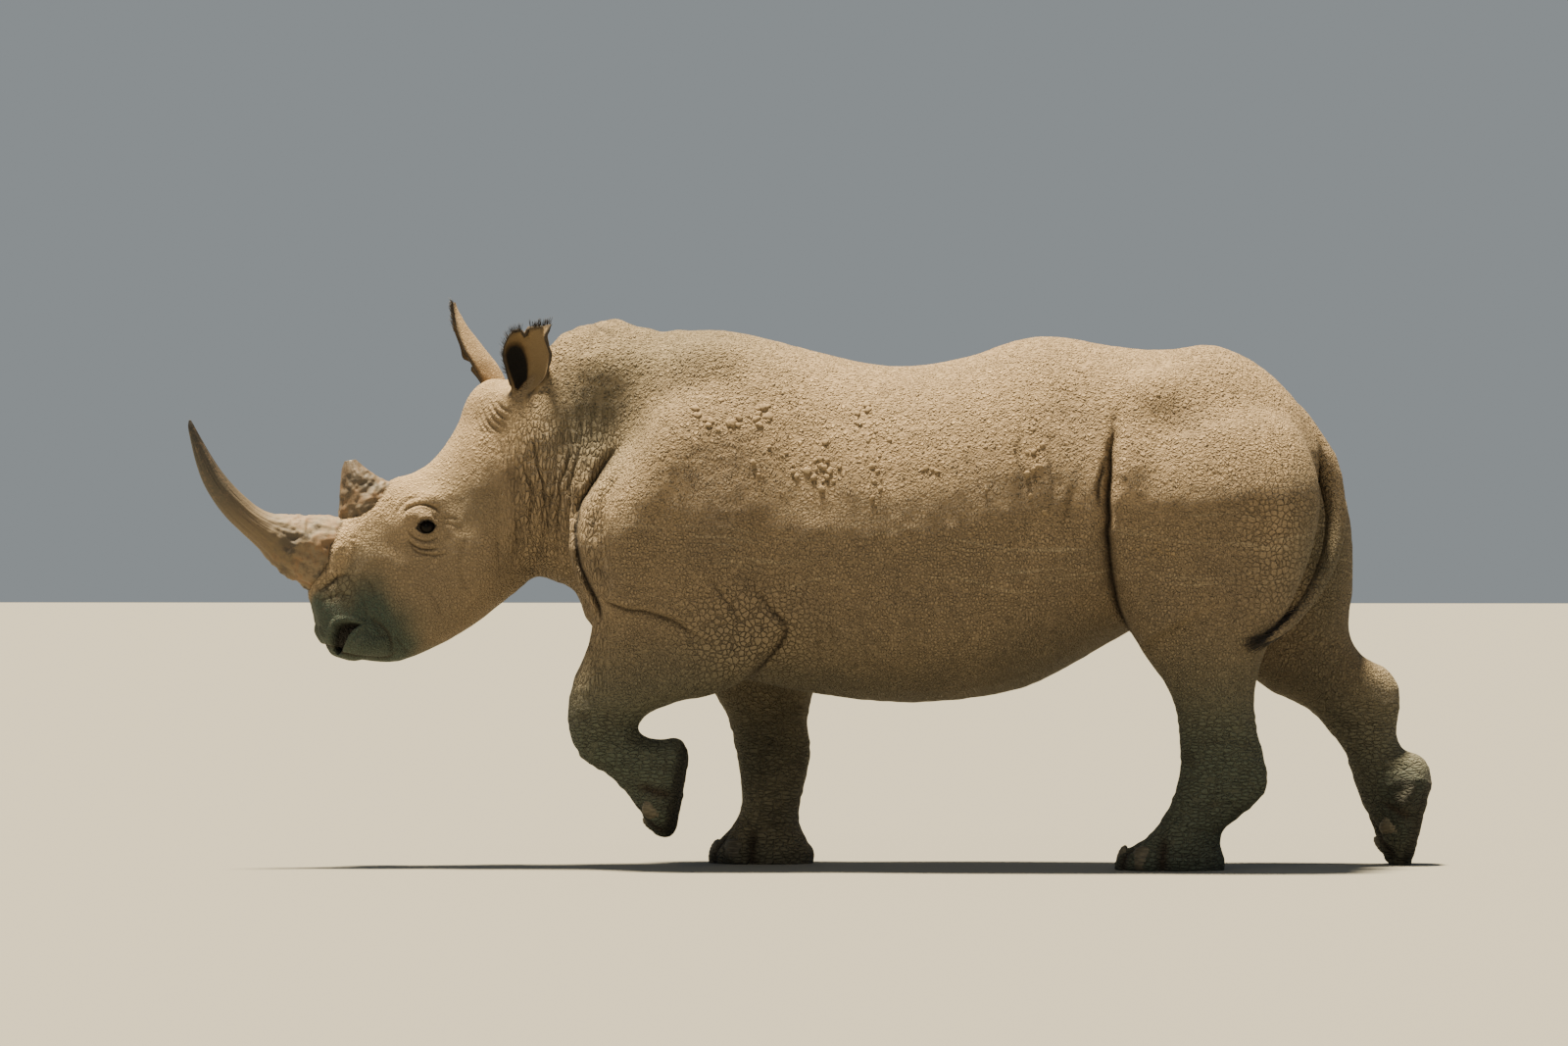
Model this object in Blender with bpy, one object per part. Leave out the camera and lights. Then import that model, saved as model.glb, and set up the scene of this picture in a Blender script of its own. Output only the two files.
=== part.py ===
"""An adult white rhinoceros in mid-stride, life size, as a still model.

Metres, +Z up. The animal walks towards -X, and its left side faces -Y. The floor is z = 0.
The flesh is modelled whole, as lofted masses that are joined and settled into one another,
and is then parted with thin cuts into head, neck, trunk, tail and legs. Horns, ears, eyes and
toenails are solids of their own, set into pockets in the flesh.
"""
import math

import bmesh
import bpy
import numpy as np
from mathutils import Matrix, Vector
from mathutils.bvhtree import BVHTree

# ---------------------------------------------------------------- driving sizes
GAP = 0.0003                # clearance that touching solids keep
CUT = 0.0004                # half the width of the cuts that part the flesh
VOXEL = 0.018               # grain at which the masses are joined
FLESH_FACES = 3500          # triangles in the whole flesh after thinning
BLEND = 0.075               # how far the creases between masses are filled
FULLNESS = 0.12             # how much of that filling pulls on the swells between creases
HEAD_YAW = math.radians(12)     # the head is turned towards the animal's left
HEAD_PIVOT = Vector((-0.82, 0.0, 0.0))

# A mass is a row of sections. Each section is seen from the side as a line from one edge of
# the mass to the other, and is a rounded oval about that line:
# (edge x, edge z, other edge x, other edge z, middle y, half width)
TRUNK = (
    (-0.80, 1.58, -0.80, 1.05, 0.0, 0.17),
    (-0.70, 1.69, -0.70, 0.89, 0.0, 0.24),
    (-0.60, 1.722, -0.60, 0.77, 0.0, 0.29),
    (-0.48, 1.687, -0.48, 0.70, 0.0, 0.335),
    (-0.26, 1.693, -0.28, 0.61, 0.0, 0.39),
    (0.00, 1.632, -0.02, 0.55, 0.0, 0.44),
    (0.25, 1.578, 0.25, 0.517, 0.0, 0.475),
    (0.48, 1.602, 0.48, 0.523, 0.0, 0.485),
    (0.72, 1.673, 0.70, 0.570, 0.0, 0.475),
    (0.95, 1.642, 0.92, 0.690, 0.0, 0.44),
    (1.12, 1.628, 1.10, 0.790, 0.0, 0.40),
    (1.27, 1.646, 1.27, 0.860, 0.0, 0.36),
    (1.42, 1.582, 1.42, 0.920, 0.0, 0.30),
    (1.54, 1.465, 1.54, 1.000, 0.0, 0.22),
    (1.61, 1.330, 1.60, 1.120, 0.0, 0.11),
)
NECK = (
    (-0.42, 1.66, -0.42, 0.80, 0.0, 0.30),
    (-0.62, 1.715, -0.64, 0.845, 0.0, 0.29),
    (-0.76, 1.690, -0.76, 0.880, 0.0, 0.265),
    (-0.88, 1.590, -0.84, 0.912, -0.005, 0.24),
    (-0.98, 1.480, -0.90, 0.940, -0.02, 0.21),
)
HEAD = (
    (-0.90, 1.480, -0.80, 1.02, 0.0, 0.165),
    (-1.03, 1.500, -0.89, 0.905, 0.0, 0.185),
    (-1.10, 1.420, -0.97, 0.835, 0.0, 0.198),
    (-1.165, 1.318, -1.06, 0.765, 0.0, 0.192),
    (-1.24, 1.252, -1.155, 0.708, 0.0, 0.172),
    (-1.34, 1.215, -1.24, 0.668, 0.0, 0.148),
    (-1.435, 1.155, -1.32, 0.642, 0.0, 0.135),
    (-1.515, 1.065, -1.385, 0.642, 0.0, 0.130),
    (-1.575, 0.950, -1.445, 0.655, 0.0, 0.132),
    (-1.590, 0.850, -1.495, 0.672, 0.0, 0.130),
    (-1.560, 0.775, -1.540, 0.712, 0.0, 0.090),
)
FORELEG_LEFT = (
    (-0.40, 1.50, -0.14, 1.52, -0.19, 0.11),
    (-0.55, 1.38, -0.06, 1.38, -0.25, 0.15),
    (-0.675, 1.20, -0.02, 1.20, -0.28, 0.165),
    (-0.735, 1.05, 0.00, 1.02, -0.29, 0.175),
    (-0.72, 0.91, -0.01, 0.88, -0.29, 0.175),
    (-0.665, 0.79, -0.045, 0.76, -0.28, 0.165),
    (-0.695, 0.665, -0.11, 0.645, -0.27, 0.145),
    (-0.735, 0.565, -0.25, 0.555, -0.265, 0.13),
    (-0.748, 0.48, -0.42, 0.515, -0.26, 0.118),
    (-0.735, 0.41, -0.53, 0.455, -0.255, 0.108),
    (-0.69, 0.33, -0.525, 0.42, -0.25, 0.102),
    (-0.61, 0.285, -0.47, 0.405, -0.245, 0.105),
    (-0.53, 0.195, -0.41, 0.405, -0.24, 0.123),
    (-0.455, 0.098, -0.385, 0.405, -0.24, 0.133),
    (-0.41, 0.105, -0.365, 0.37, -0.24, 0.115),
)
FORELEG_RIGHT = (
    (-0.37, 1.50, -0.11, 1.52, 0.19, 0.11),
    (-0.52, 1.38, -0.03, 1.38, 0.25, 0.15),
    (-0.63, 1.20, 0.01, 1.20, 0.28, 0.165),
    (-0.67, 1.05, 0.03, 1.02, 0.29, 0.175),
    (-0.64, 0.91, 0.03, 0.88, 0.285, 0.175),
    (-0.54, 0.78, 0.03, 0.76, 0.27, 0.16),
    (-0.42, 0.66, 0.02, 0.64, 0.25, 0.14),
    (-0.33, 0.55, -0.005, 0.54, 0.235, 0.122),
    (-0.275, 0.46, -0.022, 0.45, 0.225, 0.11),
    (-0.25, 0.36, -0.008, 0.36, 0.22, 0.105),
    (-0.232, 0.25, -0.025, 0.26, 0.215, 0.10),
    (-0.238, 0.155, -0.05, 0.15, 0.21, 0.11),
    (-0.30, 0.075, -0.03, 0.085, 0.21, 0.13),
    (-0.335, 0.02, -0.002, 0.03, 0.21, 0.138),
    (-0.335, -0.02, -0.002, -0.02, 0.21, 0.138),
)
HIND_LEG_LEFT = (
    (1.06, 1.47, 1.42, 1.47, -0.15, 0.10),
    (0.985, 1.36, 1.55, 1.37, -0.21, 0.165),
    (0.955, 1.18, 1.615, 1.19, -0.25, 0.205),
    (0.955, 1.00, 1.595, 1.01, -0.26, 0.20),
    (0.985, 0.82, 1.53, 0.84, -0.265, 0.182),
    (1.06, 0.68, 1.45, 0.69, -0.265, 0.155),
    (1.145, 0.55, 1.412, 0.55, -0.26, 0.125),
    (1.172, 0.43, 1.42, 0.43, -0.255, 0.11),
    (1.177, 0.33, 1.445, 0.32, -0.25, 0.105),
    (1.165, 0.255, 1.445, 0.245, -0.25, 0.105),
    (1.135, 0.185, 1.37, 0.17, -0.25, 0.11),
    (1.07, 0.10, 1.30, 0.115, -0.25, 0.125),
    (0.985, 0.045, 1.31, 0.05, -0.25, 0.138),
    (0.968, -0.02, 1.322, -0.02, -0.25, 0.138),
)
HIND_LEG_RIGHT = (
    (1.10, 1.47, 1.46, 1.46, 0.15, 0.10),
    (1.04, 1.36, 1.60, 1.34, 0.21, 0.165),
    (1.05, 1.16, 1.69, 1.17, 0.25, 0.20),
    (1.10, 0.97, 1.715, 1.00, 0.255, 0.195),
    (1.19, 0.80, 1.712, 0.85, 0.255, 0.175),
    (1.32, 0.655, 1.70, 0.745, 0.25, 0.148),
    (1.45, 0.55, 1.745, 0.66, 0.24, 0.12),
    (1.56, 0.50, 1.82, 0.625, 0.23, 0.105),
    (1.625, 0.435, 1.866, 0.55, 0.225, 0.10),
    (1.68, 0.37, 1.855, 0.45, 0.22, 0.096),
    (1.71, 0.29, 1.855, 0.375, 0.22, 0.10),
    (1.735, 0.215, 1.88, 0.36, 0.22, 0.113),
    (1.775, 0.12, 1.92, 0.35, 0.22, 0.128),
    (1.83, -0.005, 1.945, 0.325, 0.22, 0.132),
    (1.89, -0.035, 1.968, 0.27, 0.22, 0.115),
)
# The tail hangs free and swings to the left: middle x, y, z and radius
TAIL = (
    (1.520, 0.000, 1.430, 0.048),
    (1.583, 0.000, 1.360, 0.045),
    (1.626, -0.004, 1.275, 0.040),
    (1.653, -0.015, 1.178, 0.034),
    (1.661, -0.036, 1.081, 0.030),
    (1.646, -0.070, 0.990, 0.028),
    (1.616, -0.115, 0.911, 0.025),
    (1.582, -0.166, 0.852, 0.023),
    (1.548, -0.228, 0.803, 0.021),
    (1.514, -0.298, 0.764, 0.018),
    (1.470, -0.362, 0.731, 0.013),
    (1.440, -0.392, 0.713, 0.007),
)
# The horns, in the plane of the straight head: lower edge, upper edge, middle y, half width
HORN_FRONT = (
    (-1.545, 0.890, -1.450, 1.080, 0.0, 0.104),
    (-1.580, 0.868, -1.488, 1.100, 0.0, 0.100),
    (-1.645, 0.906, -1.580, 1.108, 0.0, 0.086),
    (-1.697, 0.942, -1.647, 1.109, 0.0, 0.070),
    (-1.752, 1.004, -1.709, 1.114, 0.0, 0.052),
    (-1.802, 1.052, -1.753, 1.134, 0.0, 0.042),
    (-1.849, 1.098, -1.785, 1.160, 0.0, 0.037),
    (-1.889, 1.148, -1.825, 1.198, 0.0, 0.033),
    (-1.924, 1.208, -1.866, 1.246, 0.0, 0.028),
    (-1.946, 1.268, -1.897, 1.292, 0.0, 0.023),
    (-1.962, 1.332, -1.929, 1.346, 0.0, 0.016),
    (-1.972, 1.382, -1.952, 1.388, 0.0, 0.010),
    (-1.970, 1.407, -1.964, 1.408, 0.0, 0.003),
)
HORN_REAR = (
    (-1.478, 1.050, -1.305, 1.178, 0.0, 0.078),
    (-1.495, 1.092, -1.322, 1.207, 0.0, 0.076),
    (-1.493, 1.145, -1.362, 1.222, 0.0, 0.062),
    (-1.490, 1.205, -1.398, 1.248, 0.0, 0.046),
    (-1.485, 1.252, -1.427, 1.272, 0.0, 0.030),
    (-1.468, 1.280, -1.448, 1.284, 0.0, 0.012),
)
# Rounded lumps that bone and muscle raise: centre, radii, lean about the y axis in degrees.
# Those with a sideways place are mirrored to the other side.
HEAD_LUMPS = (
    ((-1.070, 0.115, 1.000), (0.125, 0.092, 0.190), 20),     # cheek
    ((-1.215, 0.118, 1.125), (0.100, 0.052, 0.060), -35),    # brow
    ((-1.490, 0.085, 0.760), (0.085, 0.062, 0.075), -30),    # nostril
    ((-1.430, 0.055, 0.710), (0.110, 0.085, 0.062), -8),     # lip
    ((-0.975, 0.110, 1.420), (0.070, 0.060, 0.100), 20),     # ear root
    ((-1.020, 0.000, 1.430), (0.082, 0.125, 0.118), 20),     # crown
    ((-1.500, 0.000, 0.985), (0.070, 0.118, 0.120), 20),     # horn boss
)
BODY_LUMPS = (
    ((-0.625, 0.000, 1.600), (0.120, 0.120, 0.127), 0),      # hump of the neck
    ((-0.560, 0.000, 0.860), (0.170, 0.180, 0.170), 0),      # brisket
    ((1.110, 0.225, 1.400), (0.190, 0.125, 0.170), 0),       # hip bone
    ((-0.300, 0.160, 1.480), (0.220, 0.130, 0.180), 0),      # top of the shoulder blade
)
EYE_RADIUS = 0.024
EYE_PLACE = (-1.229, 1.071)         # x and z on the straight head
EYE_DEPTH = 0.010                   # of the eye's middle behind the hide
# Ears: root, tip and the way the cup opens, on the straight head; half breadth at the widest
EAR_LEFT = ((-0.990, -0.118, 1.445), (-0.868, -0.175, 1.712), (-0.42, -0.90, 0.05), 0.098, 0.022)
EAR_RIGHT = ((-0.950, 0.120, 1.450), (-1.125, 0.155, 1.775), (-0.70, -0.50, -0.45), 0.088, 0.0)
EAR_THICKNESS = 0.009
EAR_MOUTH = 116                     # half the turn of the cup's wall at the root, in degrees
EAR_OPENING = 78                    # by which that turn shrinks up to the tip
NAIL_THICKNESS = 0.018
NAIL_HEIGHT = 0.042                 # of a nail's middle above the sole
NAIL_SPREAD = 54                    # degrees between the nails of a foot
NAIL_PROUD = 0.007
NAIL_WIDTHS = (("outer", -1, 0.074), ("middle", 0, 0.092), ("inner", 1, 0.074))
# Feet: middle of the sole, forward along the sole, up into the leg
FEET = {
    "fore_left": ((-0.412, -0.24, 0.250), (-0.22, 0.0, -0.975), (-0.975, 0.0, 0.22)),
    "fore_right": ((-0.168, 0.21, 0.0), (-1.0, 0.0, 0.0), (0.0, 0.0, 1.0)),
    "hind_left": ((1.145, -0.25, 0.0), (-1.0, 0.0, 0.0), (0.0, 0.0, 1.0)),
    "hind_right": ((1.905, 0.22, 0.170), (-0.45, 0.0, -0.893), (-0.893, 0.0, 0.45)),
}
# Blocks that part the flesh: corners seen from the side, then the y range
REGIONS = (
    ("head", ((-2.2, 0.62), (-0.80, 0.62), (-0.82, 0.90), (-0.79, 1.45), (-0.77, 2.0),
              (-2.2, 2.0)), -1.0, 1.0),
    ("forefoot_left", ((-0.80, 0.02), (-0.30, 0.02), (-0.30, 0.44), (-0.452, 0.44),
                       (-0.585, 0.215)), -1.0, -0.03),
    ("forefoot_right", ((-0.5, -0.1), (0.2, -0.1), (0.2, 0.145), (-0.5, 0.145)), 0.0, 1.0),
    ("hindfoot_left", ((0.80, -0.1), (1.5, -0.1), (1.5, 0.15), (0.80, 0.135)), -1.0, 0.0),
    ("hindfoot_right", ((1.70, -0.1), (2.1, -0.1), (2.1, 0.45), (1.862, 0.45),
                        (1.70, 0.185)), 0.0, 1.0),
    ("foreleg_left", ((-1.0, 0.10), (-0.09, 0.10), (-0.09, 0.660), (-1.0, 0.755)), -1.0, -0.09),
    ("foreleg_right", ((-0.46, 0.0), (0.045, 0.0), (0.045, 0.560), (-0.46, 0.665)), 0.09, 1.0),
    ("hind_leg_left", ((0.90, 0.0), (1.48, 0.0), (1.70, 0.60), (1.70, 0.985), (1.10, 0.80),
                       (0.98, 0.66), (0.90, 0.66)), -1.0, -0.04),
    ("hind_leg_right", ((0.90, 0.0), (2.1, 0.0), (2.1, 1.06), (1.20, 0.80), (0.98, 0.66),
                        (0.90, 0.66)), 0.04, 1.0),
    ("neck", ((-1.1, 0.5), (-0.77, 0.5), (-0.78, 0.87), (-0.55, 1.60), (-0.535, 2.0),
              (-1.1, 2.0)), -1.0, 1.0),
)
DISPLAY_GAMMA = 2.2
# Colours of the finishes: sRGB red, green and blue
HIDE = (0.62, 0.55, 0.45)
FOOT_HIDE = (0.48, 0.43, 0.36)
HORN_COLOUR = (0.44, 0.38, 0.30)
EYE_COLOUR = (0.05, 0.04, 0.03)
NAIL_COLOUR = (0.33, 0.29, 0.24)


def spline_rows(rows, per_span):
    """Smooth rows of numbers between the given ones (Catmull-Rom)."""
    data = np.array(rows, dtype=float)
    before = 2 * data[0] - data[1]
    after = 2 * data[-1] - data[-2]
    data = np.vstack((before, data, after))
    result = []
    for k in range(1, len(data) - 2):
        p0, p1, p2, p3 = data[k - 1:k + 3]
        for step in range(per_span):
            t = step / per_span
            result.append(0.5 * (2 * p1 + (p2 - p0) * t
                                 + (2 * p0 - 5 * p1 + 4 * p2 - p3) * t ** 2
                                 + (3 * p1 - p0 - 3 * p2 + p3) * t ** 3))
    result.append(data[-2])
    return np.array(result)


def add_loft(shape, sections, sides=32, per_span=4, squareness=2.3, low=0.0, turned=False):
    """A closed mass through a row of sections. low widens the second edge's half."""
    rings = []
    angles = np.arange(sides) * 2 * math.pi / sides
    up = np.sin(angles)
    out = np.cos(angles)
    up_round = np.sign(up) * np.abs(up) ** (2 / squareness)
    out_round = np.sign(out) * np.abs(out) ** (2 / squareness)
    for x_a, z_a, x_b, z_b, middle, half in spline_rows(sections, per_span):
        xs = (x_a + x_b) / 2 + (x_a - x_b) / 2 * up_round
        zs = (z_a + z_b) / 2 + (z_a - z_b) / 2 * up_round
        ys = middle + half * out_round * (1 - low * up_round)
        points = [Vector(p) for p in zip(xs, ys, zs)]
        if turned:
            points = [turn_head(p) for p in points]
        rings.append([shape.verts.new(p) for p in points])
    for ring, following in zip(rings, rings[1:]):
        for k in range(sides):
            nxt = (k + 1) % sides
            shape.faces.new((ring[k], ring[nxt], following[nxt], following[k]))
    shape.faces.new(rings[0])
    shape.faces.new(list(reversed(rings[-1])))


def turn_head(point):
    """Turn a point of the straight head about the neck, to where the animal looks."""
    return Matrix.Rotation(HEAD_YAW, 3, "Z") @ (Vector(point) - HEAD_PIVOT) + HEAD_PIVOT


def mesh_arrays(mesh):
    """The places of a mesh's points and the ends of its edges."""
    places = np.empty(len(mesh.vertices) * 3)
    mesh.vertices.foreach_get("co", places)
    ends = np.empty(len(mesh.edges) * 2, dtype=int)
    mesh.edges.foreach_get("vertices", ends)
    return places.reshape(-1, 3), ends.reshape(-1, 2)


def settle(mesh):
    """Fill the creases where masses meet, as flesh does, and nearly leave the swells alone."""
    places, ends = mesh_arrays(mesh)
    count = np.bincount(ends.ravel(), minlength=len(places))[:, None]
    edge = np.linalg.norm(places[ends[:, 0]] - places[ends[:, 1]], axis=1).mean()
    for _ in range(round((BLEND / edge) ** 2)):
        total = np.zeros_like(places)
        for axis in range(3):
            for here, there in ((0, 1), (1, 0)):
                total[:, axis] += np.bincount(ends[:, here], places[ends[:, there], axis],
                                              minlength=len(places))
        pull = total / count - places
        mesh.vertices.foreach_set("co", places.ravel())
        mesh.update()
        normals = np.empty(len(places) * 3)
        mesh.vertices.foreach_get("normal", normals)
        normals = normals.reshape(-1, 3)
        outward = (pull * normals).sum(axis=1, keepdims=True)
        strength = np.where(outward > 0, 0.5, 0.5 * FULLNESS)
        places = places + 0.3 * (pull - outward * normals) + strength * outward * normals
    mesh.vertices.foreach_set("co", places.ravel())
    mesh.update()


def finished_mesh(item):
    """Replace an object's mesh with its evaluated one and drop the modifiers."""
    depsgraph = bpy.context.evaluated_depsgraph_get()
    mesh = bpy.data.meshes.new_from_object(item.evaluated_get(depsgraph))
    item.modifiers.clear()
    item.data = mesh
    return mesh


def new_object(name, shape):
    bmesh.ops.triangulate(shape, faces=shape.faces)
    mesh = bpy.data.meshes.new(name)
    shape.to_mesh(mesh)
    shape.free()
    item = bpy.data.objects.new(name, mesh)
    bpy.context.collection.objects.link(item)
    return item


def join_masses(item, voxel):
    """Join overlapping masses into one closed body."""
    remesh = item.modifiers.new("join", "REMESH")
    remesh.mode = "VOXEL"
    remesh.voxel_size = voxel
    return finished_mesh(item)


def add_lump(shape, centre, radii, lean, turned=False):
    """A rounded lump, and its mirror image where it lies to one side."""
    for side in ((1,) if centre[1] == 0 else (1, -1)):
        middle = Vector((centre[0], centre[1] * side, centre[2]))
        form = Matrix.Rotation(math.radians(lean), 4, "Y") @ Matrix.Diagonal((*radii, 1.0))
        made = bmesh.ops.create_uvsphere(shape, u_segments=24, v_segments=14, radius=1.0)
        for vert in made["verts"]:
            point = form @ vert.co + middle
            vert.co = turn_head(point) if turned else point


def build_flesh():
    """The whole body without horns, ears, eyes, nails and tail."""
    shape = bmesh.new()
    add_loft(shape, TRUNK, low=0.10)
    add_loft(shape, NECK, low=0.05)
    add_loft(shape, HEAD, low=0.08, turned=True)
    for leg in (FORELEG_LEFT, FORELEG_RIGHT, HIND_LEG_LEFT, HIND_LEG_RIGHT):
        add_loft(shape, leg)
    for lump in HEAD_LUMPS:
        add_lump(shape, *lump, turned=True)
    for lump in BODY_LUMPS:
        add_lump(shape, *lump)
    flesh = new_object("flesh", shape)
    settle(join_masses(flesh, VOXEL))
    return flesh


def grown(item, amount):
    """A copy of an object whose faces stand out by an amount, to cut a pocket with."""
    shape = bmesh.new()
    shape.from_mesh(item.data)
    shape.normal_update()
    moves = [v.normal * min(v.calc_shell_factor(), 2.0) * amount for v in shape.verts]
    for vert, move in zip(shape.verts, moves):
        vert.co += move
    return new_object(item.name + "_cutter", shape)


def cut(item, cutters, operation="DIFFERENCE"):
    """Cut an object by all the cutters at once, and throw the cutters away."""
    tools = bpy.data.collections.new("cutters")
    for cutter in cutters:
        tools.objects.link(cutter)
    boolean = item.modifiers.new("cut", "BOOLEAN")
    boolean.operation = operation
    boolean.solver = "EXACT"
    boolean.operand_type = "COLLECTION"
    boolean.collection = tools
    finished_mesh(item)
    for cutter in cutters:
        bpy.data.objects.remove(cutter, do_unlink=True)
    bpy.data.collections.remove(tools)


def set_into(host, pieces):
    """Cut the pockets in which pieces sit, a hair wider than the pieces."""
    for piece in pieces:
        cut(host, [grown(piece, GAP)])


def prism(corners, near, far, grow=0.0):
    """A closed block: a polygon seen from the side, from y = near to y = far."""
    shape = bmesh.new()
    front = [shape.verts.new((x, near, z)) for x, z in corners]
    back = [shape.verts.new((x, far, z)) for x, z in corners]
    shape.faces.new(front)
    shape.faces.new(list(reversed(back)))
    for k in range(len(corners)):
        nxt = (k + 1) % len(corners)
        shape.faces.new((front[k], back[k], back[nxt], front[nxt]))
    bmesh.ops.recalc_face_normals(shape, faces=shape.faces)
    shape.normal_update()
    moves = [v.normal * v.calc_shell_factor() * grow for v in shape.verts]
    for vert, move in zip(shape.verts, moves):
        vert.co += move
    return new_object("block", shape)


def part_flesh(flesh):
    """Part the flesh into its regions, each behind thin cuts; what is left is the trunk."""
    pieces = []
    for k, (name, corners, near, far) in enumerate(REGIONS):
        piece = bpy.data.objects.new(name, flesh.data.copy())
        bpy.context.collection.objects.link(piece)
        cut(piece, [prism(corners, near, far)], "INTERSECT")
        if k:
            cut(piece, [prism(*region[1:], grow=2 * CUT) for region in REGIONS[:k]])
        pieces.append(piece)
    cut(flesh, [prism(*region[1:], grow=2 * CUT) for region in REGIONS])
    flesh.name = "trunk"
    return pieces + [flesh]


def thin_out(item, faces):
    """Bring a dense mesh down to a number of triangles."""
    triangulate = item.modifiers.new("triangulate", "TRIANGULATE")
    triangulate.quad_method = "BEAUTY"
    count = len(finished_mesh(item).polygons)
    decimate = item.modifiers.new("thin", "DECIMATE")
    decimate.ratio = faces / count
    finished_mesh(item)


def hide_spot(tree, start, direction):
    """Where a line from a point meets the hide, and the hide's outward direction there."""
    place, normal, _, _ = tree.ray_cast(Vector(start), Vector(direction).normalized())
    return place, normal


def build_loft(name, sections, sides, per_span, turned=False, squareness=2.0):
    shape = bmesh.new()
    add_loft(shape, sections, sides, per_span, squareness, turned=turned)
    bmesh.ops.recalc_face_normals(shape, faces=shape.faces)
    return new_object(name, shape)


def build_tail(name, path, sides=9):
    """A round tail along a path of middles and radii."""
    shape = bmesh.new()
    middles = [Vector(row[:3]) for row in path]
    rings = []
    for k, (_, _, _, radius) in enumerate(path):
        along = middles[min(k + 1, len(path) - 1)] - middles[max(k - 1, 0)]
        across = Vector((0, 1, 0)).cross(along).normalized()
        aside = along.cross(across).normalized()
        turns = [2 * math.pi * step / sides for step in range(sides)]
        rings.append([shape.verts.new(middles[k] + radius * (across * math.cos(turn)
                                                            + aside * math.sin(turn)))
                      for turn in turns])
    for ring, following in zip(rings, rings[1:]):
        for k in range(sides):
            nxt = (k + 1) % sides
            shape.faces.new((ring[k], ring[nxt], following[nxt], following[k]))
    shape.faces.new(rings[0])
    shape.faces.new(rings[-1])
    bmesh.ops.recalc_face_normals(shape, faces=shape.faces)
    return new_object(name, shape)


def build_eye(name, tree, side):
    """An eyeball, sunk behind the hide."""
    x, z = EYE_PLACE
    start = turn_head((x, 0.5 * side, z))
    inward = turn_head((x, 0.0, z)) - start
    place, _ = hide_spot(tree, start, inward)
    shape = bmesh.new()
    middle = place + inward.normalized() * EYE_DEPTH
    bmesh.ops.create_icosphere(shape, subdivisions=2, radius=EYE_RADIUS,
                               matrix=Matrix.Translation(middle))
    return new_object(name, shape)


def build_ear(name, root, tip, opening, breadth, bow, rows=8, columns=8):
    """A leaf-shaped cup, nearly a tube at its root and open towards its tip."""
    root = turn_head(root)
    tip = turn_head(tip)
    along = tip - root
    opening = Matrix.Rotation(HEAD_YAW, 3, "Z") @ Vector(opening)
    opening = (opening - opening.project(along)).normalized()
    side = along.cross(opening).normalized()
    shape = bmesh.new()
    grid = []
    for row in range(rows + 1):
        u = row / rows
        swell = math.sin(math.pi * (0.13 + 0.87 * u) ** 0.92) ** 0.8
        wide = breadth * (0.13 + 0.87 * swell)
        wrap = math.radians(EAR_MOUTH - EAR_OPENING * u)
        radius = wide / math.sin(min(wrap, math.pi / 2))
        line = []
        for column in range(columns + 1):
            angle = (column / columns * 2 - 1) * wrap
            point = root + along * u + side * (radius * math.sin(angle))
            point += side * (bow * math.sin(math.pi * u))
            point -= opening * (radius * math.cos(angle) - 0.55 * radius)
            line.append(shape.verts.new(point))
        grid.append(line)
    for low, high in zip(grid, grid[1:]):
        for k in range(columns):
            shape.faces.new((low[k], low[k + 1], high[k + 1], high[k]))
    ear = new_object(name, shape)
    wall = ear.modifiers.new("wall", "SOLIDIFY")
    wall.thickness = EAR_THICKNESS
    wall.offset = 0.0
    ear.modifiers.new("triangles", "TRIANGULATE")
    finished_mesh(ear)
    return ear


def build_nails(foot, tree):
    """Three broad nails round the front of a foot."""
    middle, forward, up = (Vector(v) for v in FEET[foot])
    nails = []
    for place, turn, width in NAIL_WIDTHS:
        across = up.cross(forward)
        outwards = -1 if across.y * middle.y > 0 else 1
        angle = math.radians(NAIL_SPREAD) * turn
        direction = forward * math.cos(angle) + across * (math.sin(angle) * outwards)
        spot, normal = hide_spot(tree, middle + up * NAIL_HEIGHT, direction)
        flat = (normal - up * (0.55 * normal.dot(up))).normalized()
        sideways = up.cross(flat).normalized()
        rise = flat.cross(sideways)
        form = Matrix((sideways * width / 2, rise * NAIL_HEIGHT * 0.95,
                       flat * NAIL_THICKNESS)).transposed().to_4x4()
        form.translation = spot + flat * (NAIL_PROUD - NAIL_THICKNESS)
        shape = bmesh.new()
        bmesh.ops.create_uvsphere(shape, u_segments=8, v_segments=4, radius=1.0, matrix=form)
        nails.append(new_object("nail_" + foot + "_" + place, shape))
    return nails


def finish(item, name, colour, roughness):
    """Give an object its material and smooth shading."""
    material = bpy.data.materials.new(name)
    material.use_nodes = True
    shader = material.node_tree.nodes["Principled BSDF"]
    shader.inputs["Base Color"].default_value = (*(c ** DISPLAY_GAMMA for c in colour), 1.0)
    shader.inputs["Roughness"].default_value = roughness
    shader.inputs["Metallic"].default_value = 0.0
    item.data.materials.clear()
    item.data.materials.append(material)
    item.data.shade_smooth()


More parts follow.
